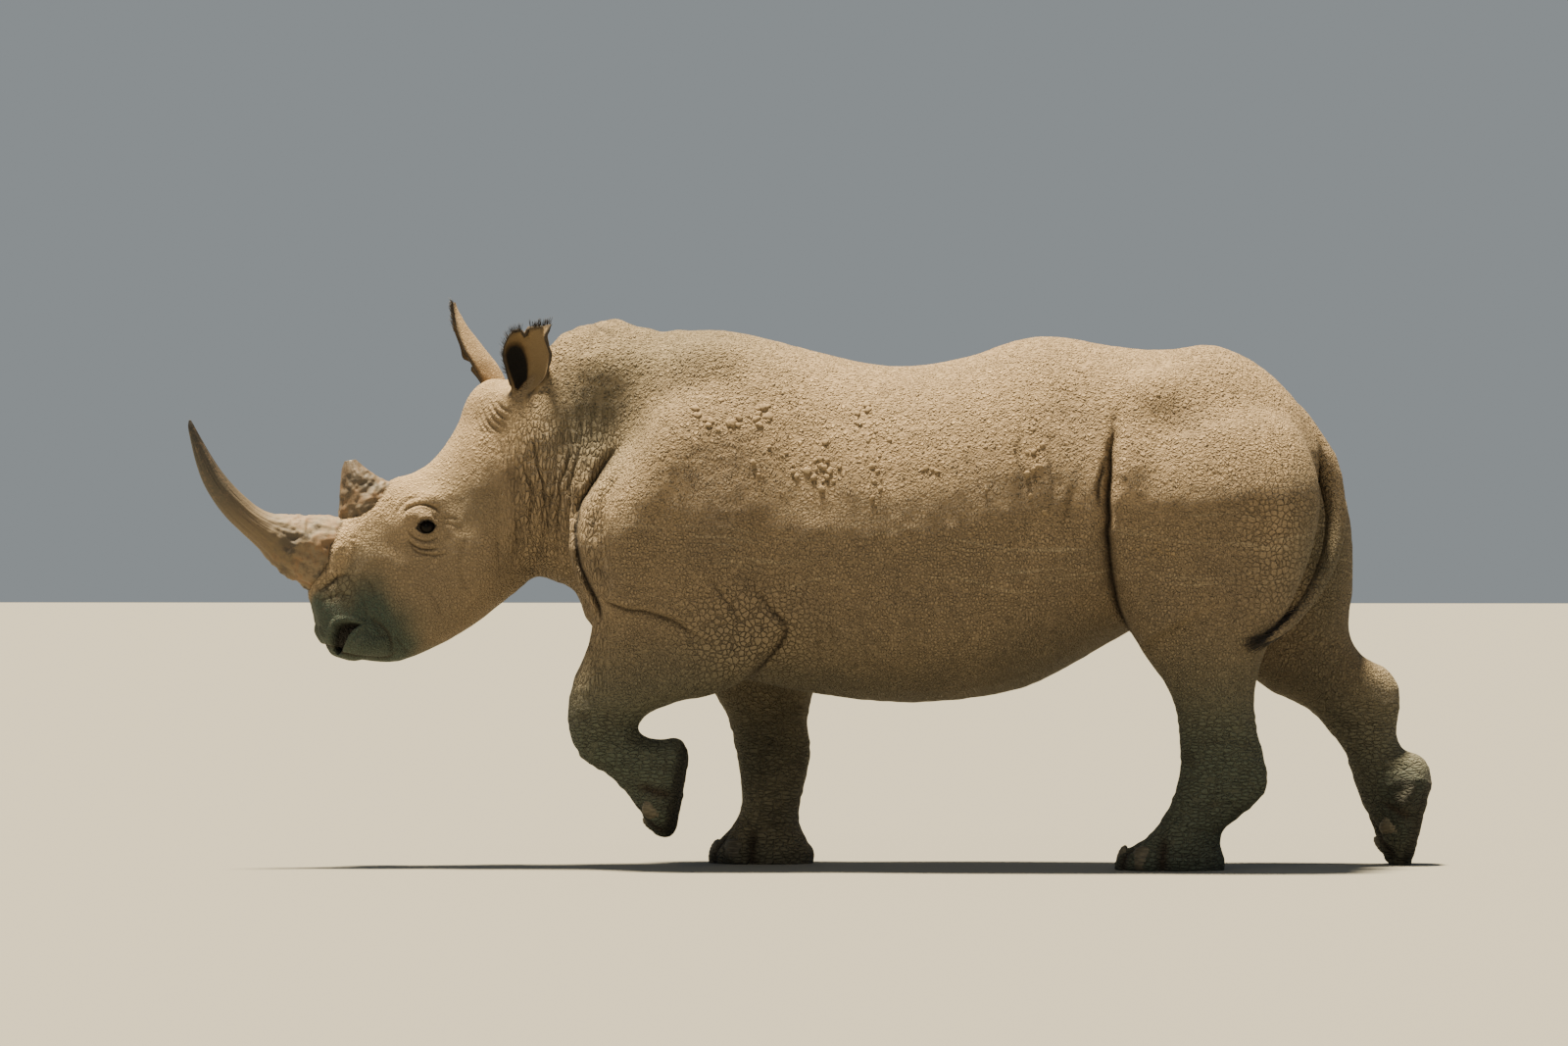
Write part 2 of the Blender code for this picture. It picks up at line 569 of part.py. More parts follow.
def build_rhinoceros():
    flesh = build_flesh()
    thin_out(flesh, FLESH_FACES)
    cut(flesh, [prism(((-3, -1), (3, -1), (3, 0), (-3, 0)), -2, 2)])
    shape = bmesh.new()
    shape.from_mesh(flesh.data)
    tree = BVHTree.FromBMesh(shape)
    shape.free()

    horn_front = build_loft("horn_front", HORN_FRONT, 14, 1, turned=True)
    horn_rear = build_loft("horn_rear", HORN_REAR, 12, 1, turned=True)
    set_into(horn_rear, [horn_front])
    ears = [build_ear("ear_left", *EAR_LEFT), build_ear("ear_right", *EAR_RIGHT)]
    eyes = [build_eye("eye_left", tree, -1), build_eye("eye_right", tree, 1)]
    nails = [nail for foot in FEET for nail in build_nails(foot, tree)]
    tail = build_tail("tail", TAIL)
    set_into(flesh, [horn_front, horn_rear, tail] + ears + eyes + nails)
    for item in part_flesh(flesh) + [tail] + ears:
        is_foot = "foot" in item.name
        finish(item, item.name + "_hide", FOOT_HIDE if is_foot else HIDE, 0.85)
    for item in (horn_front, horn_rear):
        finish(item, item.name + "_keratin", HORN_COLOUR, 0.55)
    for item in eyes:
        finish(item, item.name + "_cornea", EYE_COLOUR, 0.1)
    for item in nails:
        finish(item, item.name + "_keratin", NAIL_COLOUR, 0.6)


for old in list(bpy.data.objects):
    bpy.data.objects.remove(old, do_unlink=True)
build_rhinoceros()
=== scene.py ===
"""A white rhinoceros in mid-stride, life size, as a museum model.

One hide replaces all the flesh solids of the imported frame. The horns, toenails and eyes get
finer pieces, and hair and dried mud are added. Metres, +Z up; the animal walks towards -X, and
its left side faces -Y. The floor is z = 0.
"""
import itertools
import math

import bmesh
import bpy
import numpy as np
from mathutils import Matrix, Vector
from mathutils.bvhtree import BVHTree


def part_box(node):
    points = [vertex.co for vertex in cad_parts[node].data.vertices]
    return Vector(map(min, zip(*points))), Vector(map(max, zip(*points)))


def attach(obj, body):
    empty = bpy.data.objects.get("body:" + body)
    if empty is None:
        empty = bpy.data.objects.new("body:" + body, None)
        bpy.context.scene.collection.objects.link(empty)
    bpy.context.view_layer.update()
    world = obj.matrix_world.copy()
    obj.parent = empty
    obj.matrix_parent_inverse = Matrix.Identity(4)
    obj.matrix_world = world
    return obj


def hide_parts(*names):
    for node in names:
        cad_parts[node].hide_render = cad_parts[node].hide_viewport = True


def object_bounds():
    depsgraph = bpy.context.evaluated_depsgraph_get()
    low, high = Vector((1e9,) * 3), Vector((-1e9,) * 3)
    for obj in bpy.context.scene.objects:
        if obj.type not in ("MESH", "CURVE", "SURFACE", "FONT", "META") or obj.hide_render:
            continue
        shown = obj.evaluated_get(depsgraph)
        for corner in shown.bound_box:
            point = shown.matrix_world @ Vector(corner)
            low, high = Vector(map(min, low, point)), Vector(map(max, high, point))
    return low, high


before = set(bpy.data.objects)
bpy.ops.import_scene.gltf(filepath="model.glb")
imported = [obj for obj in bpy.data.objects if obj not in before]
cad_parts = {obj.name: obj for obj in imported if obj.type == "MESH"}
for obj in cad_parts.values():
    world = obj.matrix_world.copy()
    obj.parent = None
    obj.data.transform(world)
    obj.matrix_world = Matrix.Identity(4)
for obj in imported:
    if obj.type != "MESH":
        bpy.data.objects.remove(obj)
solid_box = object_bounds()

# ---------------------------------------------------------------- the hide: main masses
# The hide of a rhinoceros is a thick, almost bare skin that lies loose over muscle and bone. It
# is one piece from the lips to the tail. The masses under it are built first, joined and settled
# into one another, as flesh settles, and the folds are pressed in afterwards.

GRAIN = 0.018               # grain at which the masses are joined, before they are refined
BLEND = 0.075               # how far the creases between masses are filled
FULLNESS = 0.12             # how much of that filling pulls on the swells between creases
HEAD_YAW = math.radians(12)
HEAD_PIVOT = np.array((-0.82, 0.0, 0.0))

# Rows of sections, each a line seen from the side from one edge of the mass to the other, with
# a rounded oval about it: (edge x, edge z, other edge x, other edge z, middle y, half width)
TRUNK = (
    (-0.8, 1.58, -0.8, 1.05, 0, 0.17), (-0.7, 1.69, -0.7, 0.89, 0, 0.24),
    (-0.6, 1.722, -0.6, 0.77, 0, 0.29), (-0.48, 1.687, -0.48, 0.7, 0, 0.335),
    (-0.26, 1.693, -0.28, 0.61, 0, 0.39), (0, 1.632, -0.02, 0.55, 0, 0.44),
    (0.25, 1.578, 0.25, 0.517, 0, 0.475), (0.48, 1.602, 0.48, 0.523, 0, 0.485),
    (0.72, 1.673, 0.7, 0.57, 0, 0.475), (0.95, 1.642, 0.92, 0.69, 0, 0.44),
    (1.12, 1.628, 1.1, 0.79, 0, 0.4), (1.27, 1.646, 1.27, 0.86, 0, 0.36),
    (1.42, 1.582, 1.42, 0.92, 0, 0.3), (1.54, 1.465, 1.54, 1, 0, 0.22), (1.61, 1.33, 1.6, 1.12, 0, 0.11),
)
NECK = (
    (-0.42, 1.66, -0.42, 0.8, 0, 0.3), (-0.62, 1.715, -0.64, 0.845, 0, 0.29),
    (-0.76, 1.69, -0.76, 0.88, 0, 0.265), (-0.88, 1.59, -0.84, 0.912, -0.005, 0.24),
    (-0.98, 1.48, -0.9, 0.94, -0.02, 0.21),
)
HEAD = (
    (-0.9, 1.48, -0.8, 1.02, 0, 0.165), (-1.03, 1.5, -0.89, 0.905, 0, 0.185),
    (-1.1, 1.42, -0.97, 0.835, 0, 0.198), (-1.165, 1.318, -1.06, 0.765, 0, 0.192),
    (-1.24, 1.252, -1.155, 0.708, 0, 0.172), (-1.34, 1.215, -1.24, 0.668, 0, 0.148),
    (-1.435, 1.155, -1.32, 0.642, 0, 0.135), (-1.515, 1.065, -1.385, 0.642, 0, 0.13),
    (-1.575, 0.95, -1.445, 0.655, 0, 0.132), (-1.59, 0.85, -1.495, 0.672, 0, 0.13),
    (-1.56, 0.775, -1.54, 0.712, 0, 0.09),
)
FORELEG_LEFT = (
    (-0.4, 1.5, -0.14, 1.52, -0.19, 0.11), (-0.55, 1.38, -0.06, 1.38, -0.25, 0.15),
    (-0.675, 1.2, -0.02, 1.2, -0.28, 0.165), (-0.735, 1.05, 0, 1.02, -0.29, 0.175),
    (-0.72, 0.91, -0.01, 0.88, -0.29, 0.175), (-0.665, 0.79, -0.045, 0.76, -0.28, 0.165),
    (-0.695, 0.665, -0.11, 0.645, -0.27, 0.145), (-0.735, 0.565, -0.25, 0.555, -0.265, 0.13),
    (-0.748, 0.48, -0.42, 0.515, -0.26, 0.118), (-0.735, 0.41, -0.53, 0.455, -0.255, 0.108),
    (-0.69, 0.33, -0.525, 0.42, -0.25, 0.102), (-0.61, 0.285, -0.47, 0.405, -0.245, 0.105),
    (-0.53, 0.195, -0.41, 0.405, -0.24, 0.123), (-0.455, 0.098, -0.385, 0.405, -0.24, 0.133),
    (-0.41, 0.105, -0.365, 0.37, -0.24, 0.115),
)
FORELEG_RIGHT = (
    (-0.37, 1.5, -0.11, 1.52, 0.19, 0.11), (-0.52, 1.38, -0.03, 1.38, 0.25, 0.15),
    (-0.63, 1.2, 0.01, 1.2, 0.28, 0.165), (-0.67, 1.05, 0.03, 1.02, 0.29, 0.175),
    (-0.64, 0.91, 0.03, 0.88, 0.285, 0.175), (-0.54, 0.78, 0.03, 0.76, 0.27, 0.16),
    (-0.42, 0.66, 0.02, 0.64, 0.25, 0.14), (-0.33, 0.55, -0.005, 0.54, 0.235, 0.122),
    (-0.275, 0.46, -0.022, 0.45, 0.225, 0.11), (-0.25, 0.36, -0.008, 0.36, 0.22, 0.105),
    (-0.232, 0.25, -0.025, 0.26, 0.215, 0.1), (-0.238, 0.155, -0.05, 0.15, 0.21, 0.11),
    (-0.3, 0.075, -0.03, 0.085, 0.21, 0.13), (-0.335, 0.02, -0.002, 0.03, 0.21, 0.138),
    (-0.335, -0.02, -0.002, -0.02, 0.21, 0.138),
)
HIND_LEG_LEFT = (
    (1.06, 1.47, 1.42, 1.47, -0.15, 0.1), (0.985, 1.36, 1.55, 1.37, -0.21, 0.165),
    (0.955, 1.18, 1.615, 1.19, -0.25, 0.205), (0.955, 1, 1.595, 1.01, -0.26, 0.2),
    (0.985, 0.82, 1.53, 0.84, -0.265, 0.182), (1.06, 0.68, 1.45, 0.69, -0.265, 0.155),
    (1.145, 0.55, 1.412, 0.55, -0.26, 0.125), (1.172, 0.43, 1.42, 0.43, -0.255, 0.11),
    (1.177, 0.33, 1.445, 0.32, -0.25, 0.105), (1.165, 0.255, 1.445, 0.245, -0.25, 0.105),
    (1.135, 0.185, 1.37, 0.17, -0.25, 0.11), (1.07, 0.1, 1.3, 0.115, -0.25, 0.125),
    (0.985, 0.045, 1.31, 0.05, -0.25, 0.138), (0.968, -0.02, 1.322, -0.02, -0.25, 0.138),
)
HIND_LEG_RIGHT = (
    (1.1, 1.47, 1.46, 1.46, 0.15, 0.1), (1.04, 1.36, 1.6, 1.34, 0.21, 0.165),
    (1.05, 1.16, 1.69, 1.17, 0.25, 0.2), (1.1, 0.97, 1.715, 1, 0.255, 0.195),
    (1.19, 0.8, 1.712, 0.85, 0.255, 0.175), (1.32, 0.655, 1.7, 0.745, 0.25, 0.148),
    (1.45, 0.55, 1.745, 0.66, 0.24, 0.12), (1.56, 0.5, 1.82, 0.625, 0.23, 0.105),
    (1.625, 0.435, 1.866, 0.55, 0.225, 0.1), (1.68, 0.37, 1.855, 0.45, 0.22, 0.096),
    (1.71, 0.29, 1.855, 0.375, 0.22, 0.1), (1.735, 0.215, 1.88, 0.36, 0.22, 0.113),
    (1.775, 0.12, 1.92, 0.35, 0.22, 0.128), (1.83, -0.005, 1.945, 0.325, 0.22, 0.132),
    (1.89, -0.035, 1.968, 0.27, 0.22, 0.115),
)
# Rounded lumps that bone and muscle raise: centre, radii, lean about the y axis in degrees.
# Those with a sideways place are mirrored to the other side.
HEAD_LUMPS = (
    ((-1.070, 0.115, 1.000), (0.125, 0.092, 0.190), 20),     # cheek
    ((-1.215, 0.118, 1.125), (0.100, 0.052, 0.060), -35),    # brow
    ((-1.490, 0.085, 0.760), (0.085, 0.062, 0.075), -30),    # nostril
    ((-1.430, 0.055, 0.710), (0.110, 0.085, 0.062), -8),     # lip
    ((-0.975, 0.110, 1.420), (0.070, 0.060, 0.100), 20),     # ear root
    ((-1.020, 0.000, 1.430), (0.082, 0.125, 0.118), 20),     # crown
    ((-1.500, 0.000, 0.985), (0.070, 0.118, 0.120), 20),     # horn boss
)
BODY_LUMPS = (
    ((-0.625, 0.000, 1.600), (0.120, 0.120, 0.127), 0),      # hump of the neck
    ((-0.560, 0.000, 0.860), (0.170, 0.180, 0.170), 0),      # brisket
    ((1.110, 0.225, 1.400), (0.190, 0.125, 0.170), 0),       # hip bone
    ((-0.300, 0.160, 1.480), (0.220, 0.130, 0.180), 0),      # top of the shoulder blade
)


def spline_rows(rows, per_span):
    """Smooth rows of numbers between the given ones (Catmull-Rom)."""
    data = np.array(rows, dtype=float)
    data = np.vstack((2 * data[0] - data[1], data, 2 * data[-1] - data[-2]))
    result = []
    for k in range(1, len(data) - 2):
        p0, p1, p2, p3 = data[k - 1:k + 3]
        for step in range(per_span):
            t = step / per_span
            result.append(0.5 * (2 * p1 + (p2 - p0) * t
                                 + (2 * p0 - 5 * p1 + 4 * p2 - p3) * t ** 2
                                 + (3 * p1 - p0 - 3 * p2 + p3) * t ** 3))
    result.append(data[-2])
    return np.array(result)


def turned(places, angle=HEAD_YAW):
    """Places of the straight head, turned to where the animal looks; minus the angle undoes it."""
    moved = np.array(places, dtype=float) - HEAD_PIVOT
    c, s = math.cos(angle), math.sin(angle)
    x, y = moved[..., 0].copy(), moved[..., 1].copy()
    moved[..., 0] = c * x - s * y
    moved[..., 1] = s * x + c * y
    return moved + HEAD_PIVOT


def turned_way(way):
    """A direction on the straight head, turned to where the animal looks."""
    return turned(np.array(way) + HEAD_PIVOT) - HEAD_PIVOT


def unit(way):
    return way / np.linalg.norm(way)


def add_rings(shape, rings):
    """Join closed rings of places into a tube with both ends closed."""
    made = [[shape.verts.new(p) for p in ring] for ring in rings]
    count = len(made[0])
    for ring, following in zip(made, made[1:]):
        for k in range(count):
            nxt = (k + 1) % count
            shape.faces.new((ring[k], ring[nxt], following[nxt], following[k]))
    shape.faces.new(made[0])
    shape.faces.new(list(reversed(made[-1])))
    return made


def loft_rings(sections, sides=32, per_span=4, squareness=2.3, low=0.0, head=False):
    """Rings of a mass through a row of sections; low widens the second edge's half."""
    angles = np.arange(sides) * 2 * math.pi / sides
    up, out = np.sin(angles), np.cos(angles)
    up = np.sign(up) * np.abs(up) ** (2 / squareness)
    out = np.sign(out) * np.abs(out) ** (2 / squareness)
    rings = []
    for x_a, z_a, x_b, z_b, middle, half in spline_rows(sections, per_span):
        xs = (x_a + x_b) / 2 + (x_a - x_b) / 2 * up
        zs = (z_a + z_b) / 2 + (z_a - z_b) / 2 * up
        ys = middle + half * out * (1 - low * up)
        ring = np.stack((xs, ys, zs), axis=1)
        rings.append(turned(ring) if head else ring)
    return rings


def add_lump(shape, centre, radii, lean, head):
    """A rounded lump, and its mirror image where it lies to one side."""
    for side in ((1,) if centre[1] == 0 else (1, -1)):
        middle = Vector((centre[0], centre[1] * side, centre[2]))
        form = Matrix.Rotation(math.radians(lean), 4, "Y") @ Matrix.Diagonal((*radii, 1.0))
        made = bmesh.ops.create_uvsphere(shape, u_segments=24, v_segments=14, radius=1.0)
        for vert in made["verts"]:
            point = form @ vert.co + middle
            vert.co = turned(point) if head else point


def add_object(name, data):
    """An object in the scene that shows a mesh, a lamp or a camera."""
    item = bpy.data.objects.new(name, data)
    bpy.context.collection.objects.link(item)
    return item


def new_object(name, shape):
    """An object made of a bmesh, with its faces pointing outwards."""
    bmesh.ops.recalc_face_normals(shape, faces=shape.faces)
    mesh = bpy.data.meshes.new(name)
    shape.to_mesh(mesh)
    shape.free()
    return add_object(name, mesh)


def apply_modifiers(item):
    """Replace an object's mesh with its evaluated one and drop the modifiers."""
    mesh = bpy.data.meshes.new_from_object(
        item.evaluated_get(bpy.context.evaluated_depsgraph_get()))
    item.modifiers.clear()
    item.data = mesh
    return item


def modified(item, kind, **settings):
    """Run one modifier on an object for good."""
    modifier = item.modifiers.new(kind.lower(), kind)
    for key, value in settings.items():
        setattr(modifier, key, value)
    return apply_modifiers(item)


def read_places(mesh, what="co"):
    places = np.empty(len(mesh.vertices) * 3)
    mesh.vertices.foreach_get(what, places)
    return places.reshape(-1, 3)


def write_places(mesh, places):
    mesh.vertices.foreach_set("co", np.ascontiguousarray(places).ravel())
    mesh.update()


def read_ends(mesh):
    """The two points of each edge."""
    ends = np.empty(len(mesh.edges) * 2, dtype=int)
    mesh.edges.foreach_get("vertices", ends)
    return ends.reshape(-1, 2)


def neighbour_sums(places, ends):
    """For each place, the sum of the places at the other ends of its edges."""
    total = np.zeros_like(places)
    for axis in range(3):
        for here, there in ((0, 1), (1, 0)):
            total[:, axis] += np.bincount(ends[:, here], places[ends[:, there], axis],
                                          minlength=len(places))
    return total


def settle(mesh, reach):
    """Fill the creases where masses meet, as flesh does, and nearly leave the swells alone."""
    places = read_places(mesh)
    ends = read_ends(mesh)
    count = np.bincount(ends.ravel(), minlength=len(places))[:, None]
    edge = np.linalg.norm(places[ends[:, 0]] - places[ends[:, 1]], axis=1).mean()
    for _ in range(round((reach / edge) ** 2)):
        pull = neighbour_sums(places, ends) / count - places
        write_places(mesh, places)
        normals = read_places(mesh, "normal")
        outward = (pull * normals).sum(axis=1, keepdims=True)
        strength = np.where(outward > 0, 0.5, 0.5 * FULLNESS)
        places = places + 0.3 * (pull - outward * normals) + strength * outward * normals
    write_places(mesh, places)


def refine_near(item, spots):
    """Split the faces of an object near some places, for detail that needs it."""
    shape = bmesh.new()
    shape.from_mesh(item.data)
    for middle, reach in spots:
        middle = Vector(middle)
        near = [edge for edge in shape.edges
                if all((vert.co - middle).length < reach for vert in edge.verts)]
        bmesh.ops.subdivide_edges(shape, edges=near, cuts=1, use_grid_fill=True)
    shape.to_mesh(item.data)
    shape.free()


# Where the right eye and nostril lie on the straight head
EYE_SPOT = np.array((-1.245, 0.17, 1.071))
NOSTRIL_SPOT = np.array((-1.490, 0.12, 0.730))
shape = bmesh.new()
add_rings(shape, loft_rings(TRUNK, low=0.10))
add_rings(shape, loft_rings(NECK, low=0.05))
add_rings(shape, loft_rings(HEAD, low=0.08, head=True))
for leg in (FORELEG_LEFT, FORELEG_RIGHT, HIND_LEG_LEFT, HIND_LEG_RIGHT):
    add_rings(shape, loft_rings(leg))
for lump in HEAD_LUMPS:
    add_lump(shape, *lump, head=True)
for lump in BODY_LUMPS:
    add_lump(shape, *lump, head=False)
hide = new_object("hide", shape)
modified(hide, "REMESH", mode="VOXEL", voxel_size=GRAIN)
settle(hide.data, BLEND)
# The eyes and nostrils need the finest mesh
for sign in (-1, 1):
    eye_spot, nostril_spot = turned(EYE_SPOT * (1, sign, 1)), turned(NOSTRIL_SPOT * (1, sign, 1))
    refine_near(hide, ((eye_spot, 0.120), (eye_spot, 0.085), (nostril_spot, 0.110)))
fine = 2
modified(hide, "SUBSURF", levels=fine, render_levels=fine)

# ---------------------------------------------------------------- the hide: tail and ears
# The tail is a thick, tapering rope of skin and bone that swings to the left. The ears are
# funnels of gristle under thin skin, rolled to a tube at the root and open towards the tip, with
# edges torn in old fights. Both grow out of the same hide, so they are fused to it here.

# middle x, y, z and radius
TAIL = (
    (1.52, 0, 1.43, 0.048), (1.583, 0, 1.36, 0.045), (1.626, -0.004, 1.275, 0.04),
    (1.653, -0.015, 1.178, 0.034), (1.661, -0.036, 1.081, 0.03), (1.646, -0.07, 0.99, 0.028),
    (1.616, -0.115, 0.911, 0.025), (1.582, -0.166, 0.852, 0.023), (1.548, -0.228, 0.803, 0.021),
    (1.514, -0.298, 0.764, 0.018), (1.47, -0.362, 0.731, 0.013), (1.44, -0.392, 0.713, 0.007),
)
# Rows of an ear from root to tip: front rim x, y, z, rear rim x, y, z, depth of the cup
EAR_LEFT = (
    (-0.975, -0.15, 1.4, -0.895, -0.15, 1.4, 0.05), (-0.952, -0.168, 1.455, -0.885, -0.172, 1.452, 0.052),
    (-0.932, -0.18, 1.5, -0.868, -0.186, 1.492, 0.056),
    (-0.944, -0.178, 1.555, -0.826, -0.202, 1.535, 0.062),
    (-0.9565, -0.172, 1.61, -0.804, -0.212, 1.59, 0.066),
    (-0.951, -0.17, 1.652, -0.803, -0.212, 1.64, 0.056),
    (-0.93, -0.172, 1.683, -0.812, -0.207, 1.676, 0.04),
    (-0.918, -0.174, 1.686, -0.801, -0.203, 1.708, 0.024),
)
EAR_RIGHT = (
    (-1.03, 0.12, 1.44, -1, 0.04, 1.44, 0.06), (-1.04, 0.128, 1.49, -1.022, 0.04, 1.49, 0.068),
    (-1.066, 0.135, 1.54, -1.05, 0.034, 1.538, 0.074), (-1.112, 0.14, 1.597, -1.081, 0.03, 1.594, 0.072),
    (-1.126, 0.138, 1.645, -1.106, 0.036, 1.64, 0.056),
    (-1.146, 0.128, 1.703, -1.127, 0.05, 1.697, 0.036), (-1.152, 0.108, 1.755, -1.14, 0.074, 1.75, 0.018),
    (-1.149, 0.094, 1.782, -1.146, 0.09, 1.784, 0.008),
)
EAR_BULGE = {"left": (0.16, 0.98, -0.10), "right": (0.92, 0.30, 0.26)}
EAR_WALL = 0.0095
EAR_COLUMNS = 30


def value_noise(places, size, seed):
    """Smooth random numbers from -1 to 1 over space, in swells about size metres across."""
    table = np.random.RandomState(seed).uniform(-1, 1, 4096)
    cell = np.asarray(places) / size
    corner = np.floor(cell).astype(np.int64)
    part = cell - corner
    part = part * part * (3 - 2 * part)
    total = np.zeros(len(cell))
    for step in itertools.product((0, 1), repeat=3):
        spot = corner + step
        key = spot[:, 0] * 73856093 ^ spot[:, 1] * 19349663 ^ spot[:, 2] * 83492791
        share = np.where(step, part, 1 - part).prod(axis=1)
        total += share * table[key % 4096]
    return total


def smooth(value):
    """Ease from 0 to 1 as the value goes from 0 to 1."""
    value = np.clip(value, 0, 1)
    return value * value * (3 - 2 * value)


def bell(value, width):
    """1 where the value is 0, fading to nothing over about two widths on both sides."""
    return np.exp(-(value / width) ** 2)


def ear_sheet(rows, bulge, per_span=6):
    """A grid of places over the cup of an ear, from root to tip and from rim to rim."""
    bulge = unit(np.array(bulge))
    lines = []
    for row in spline_rows(rows, per_span):
        across = np.linspace(0, 1, EAR_COLUMNS + 1)[:, None]
        line = row[:3] * (1 - across) + row[3:6] * across
        line = line + bulge * (row[6] * np.sin(math.pi * across) ** 0.75)
        lines.append(line)
    return np.array(lines)


def tear_edge(sheet, side):
    """Nicks in the rim, and the torn top of the left ear."""
    if side == "left":
        across = np.linspace(0, 1, EAR_COLUMNS + 1)
        nick = -0.020 * bell(across - 0.24, 0.045)
        nick = nick + 0.013 * smooth((across - 0.27) / 0.06) * (1 - across)
        nick = nick + 0.004 * bell(across - 0.09, 0.06)
        for k in range(1, 10):
            sheet[-k, :, 2] += nick * (1 - (k - 1) / 9)
        sheet[-16:-4, -4:, 0] -= 0.010 * np.sin(np.linspace(0, math.pi, 12))[:, None] \
            * np.linspace(0, 1, 4)
    else:
        middle = len(sheet) * 0.40
        rows = np.arange(len(sheet))
        notch = bell(rows - middle, 1.1)
        sheet[:, :4, 0] += 0.030 * notch[:, None] * np.linspace(1, 0.2, 4)
    return sheet


def add_shell(shape, sheet, wall):
    """A closed wall about a grid of places, a little thinner at its rims."""
    along = np.gradient(sheet, axis=0)
    across = np.gradient(sheet, axis=1)
    normal = np.cross(along, across)
    normal = normal / np.maximum(np.linalg.norm(normal, axis=2, keepdims=True), 1e-9)
    rim = np.sin(np.linspace(0, math.pi, sheet.shape[1])) ** 0.5
    half = wall / 2 * (0.62 + 0.38 * rim)[None, :, None]
    faces = (sheet + normal * half, sheet - normal * half)
    rows, columns = sheet.shape[:2]
    front, back = ([[shape.verts.new(p) for p in line] for line in grid] for grid in faces)
    for i in range(rows - 1):
        for j in range(columns - 1):
            shape.faces.new((front[i][j], front[i][j + 1], front[i + 1][j + 1], front[i + 1][j]))
            shape.faces.new((back[i][j], back[i + 1][j], back[i + 1][j + 1], back[i][j + 1]))
    edge = [(0, j) for j in range(columns)] + [(i, columns - 1) for i in range(1, rows)]
    edge += [(rows - 1, j) for j in range(columns - 2, -1, -1)]
    edge += [(i, 0) for i in range(rows - 2, 0, -1)]
    for (a, b), (c, d) in zip(edge, edge[1:] + edge[:1]):
        shape.faces.new((front[a][b], back[a][b], back[c][d], front[c][d]))


def fuse(host, piece):
    """Join a closed piece to the host as one skin."""
    modified(host, "BOOLEAN", operation="UNION", solver="MANIFOLD", object=piece)
    bpy.data.objects.remove(piece, do_unlink=True)


def tube_rings(path, sides, per_span=1):
    """Rings about a path of middles and radii."""
    rows = spline_rows(path, per_span)
    along = np.gradient(rows[:, :3], axis=0)
    turns = np.arange(sides) * 2 * math.pi / sides
    rings = []
    for row, way in zip(rows, along):
        across = unit(np.cross((0, 1, 0), way))
        aside = unit(np.cross(way, across))
        rings.append(row[:3] + row[3] * (np.outer(np.cos(turns), across)
                                         + np.outer(np.sin(turns), aside)))
    return rings


ear_sheets = {}
for side, rows in (("left", EAR_LEFT), ("right", EAR_RIGHT)):
    shape = bmesh.new()
    ear_sheets[side] = tear_edge(ear_sheet(rows, EAR_BULGE[side]), side)
    add_shell(shape, ear_sheets[side], EAR_WALL)
    bmesh.ops.triangulate(shape, faces=shape.faces)
    fuse(hide, new_object("ear", shape))
shape = bmesh.new()
add_rings(shape, tube_rings(TAIL, 28, 8))
bmesh.ops.triangulate(shape, faces=shape.faces)
fuse(hide, new_object("tail", shape))


def soften(mesh, spots, times):
    """Round off the joints near some places, each a middle and a reach."""
    places = read_places(mesh)
    share = np.zeros(len(places))
    for middle, reach in spots:
        away = np.linalg.norm(places - middle, axis=1)
        share = np.maximum(share, np.clip(1.6 - 1.6 * away / reach, 0, 1))
    ends = read_ends(mesh)
    ends = ends[(share[ends] > 0).any(axis=1)]
    used, ends = np.unique(ends, return_inverse=True)
    ends = ends.reshape(-1, 2)
    spots = places[used]
    count = np.bincount(ends.ravel(), minlength=len(used))[:, None]
    for _ in range(times):
        pull = neighbour_sums(spots, ends) / count - spots
        spots += pull * (0.6 * share[used])[:, None]
    places[used] = spots
    write_places(mesh, places)


# The roots of the ears and of the tail, then the sides of the head round eyes and nostrils
soften(hide.data, (((-0.935, -0.160, 1.440), 0.080), ((-1.000, 0.080, 1.480), 0.080),
                   ((1.575, 0.000, 1.370), 0.110)), 40)
for sign in (-1, 1):
    eye_spot, nostril_spot = turned(EYE_SPOT * (1, sign, 1)), turned(NOSTRIL_SPOT * (1, sign, 1))
    soften(hide.data, ((eye_spot, 0.150), (nostril_spot, 0.130)), 24)

# ---------------------------------------------------------------- the hide: folds and features
# Rhinoceros skin is up to 25 mm thick, so it does not crumple: it hangs in a few deep plates
# with sharp creases between them, and is crossed by shallow wrinkles. All of that is pressed
# into the hide here, and the eyelids, nostrils, lips, toes and the collar of the horns with it.

EYES = {"left": -1, "right": 1}
eye_middle = {side: (Vector(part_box("eye_" + side)[0]) + Vector(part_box("eye_" + side)[1])) / 2
              for side in EYES}
EYE_RADIUS = 0.024
NOSTRIL = ((-1.520, 0.764), (-1.508, 0.773), (-1.478, 0.775), (-1.438, 0.766), (-1.462, 0.750),
           (-1.480, 0.730), (-1.490, 0.702), (-1.496, 0.676), (-1.510, 0.664), (-1.528, 0.680),
           (-1.533, 0.708), (-1.530, 0.738))


places = read_places(hide.data)
normals = read_places(hide.data, "normal")
head_places = turned(places, -HEAD_YAW)
relief = np.zeros(len(places))          # how far the hide stands out, in metres
tuck = np.zeros(len(places))            # how far it stands away from the middle of the body
cleft = np.zeros(len(places))           # 1 in the bottom of a crease: dirt and painted shade


def facing(side):
    """1 on the outside of one flank, fading towards the middle of the body."""
    if side == "both":
        return np.ones(len(places))
    sign = EYES[side]
    return smooth(0.35 + 1.6 * sign * normals[:, 1]) * smooth(0.5 + sign * places[:, 1] / 0.10)


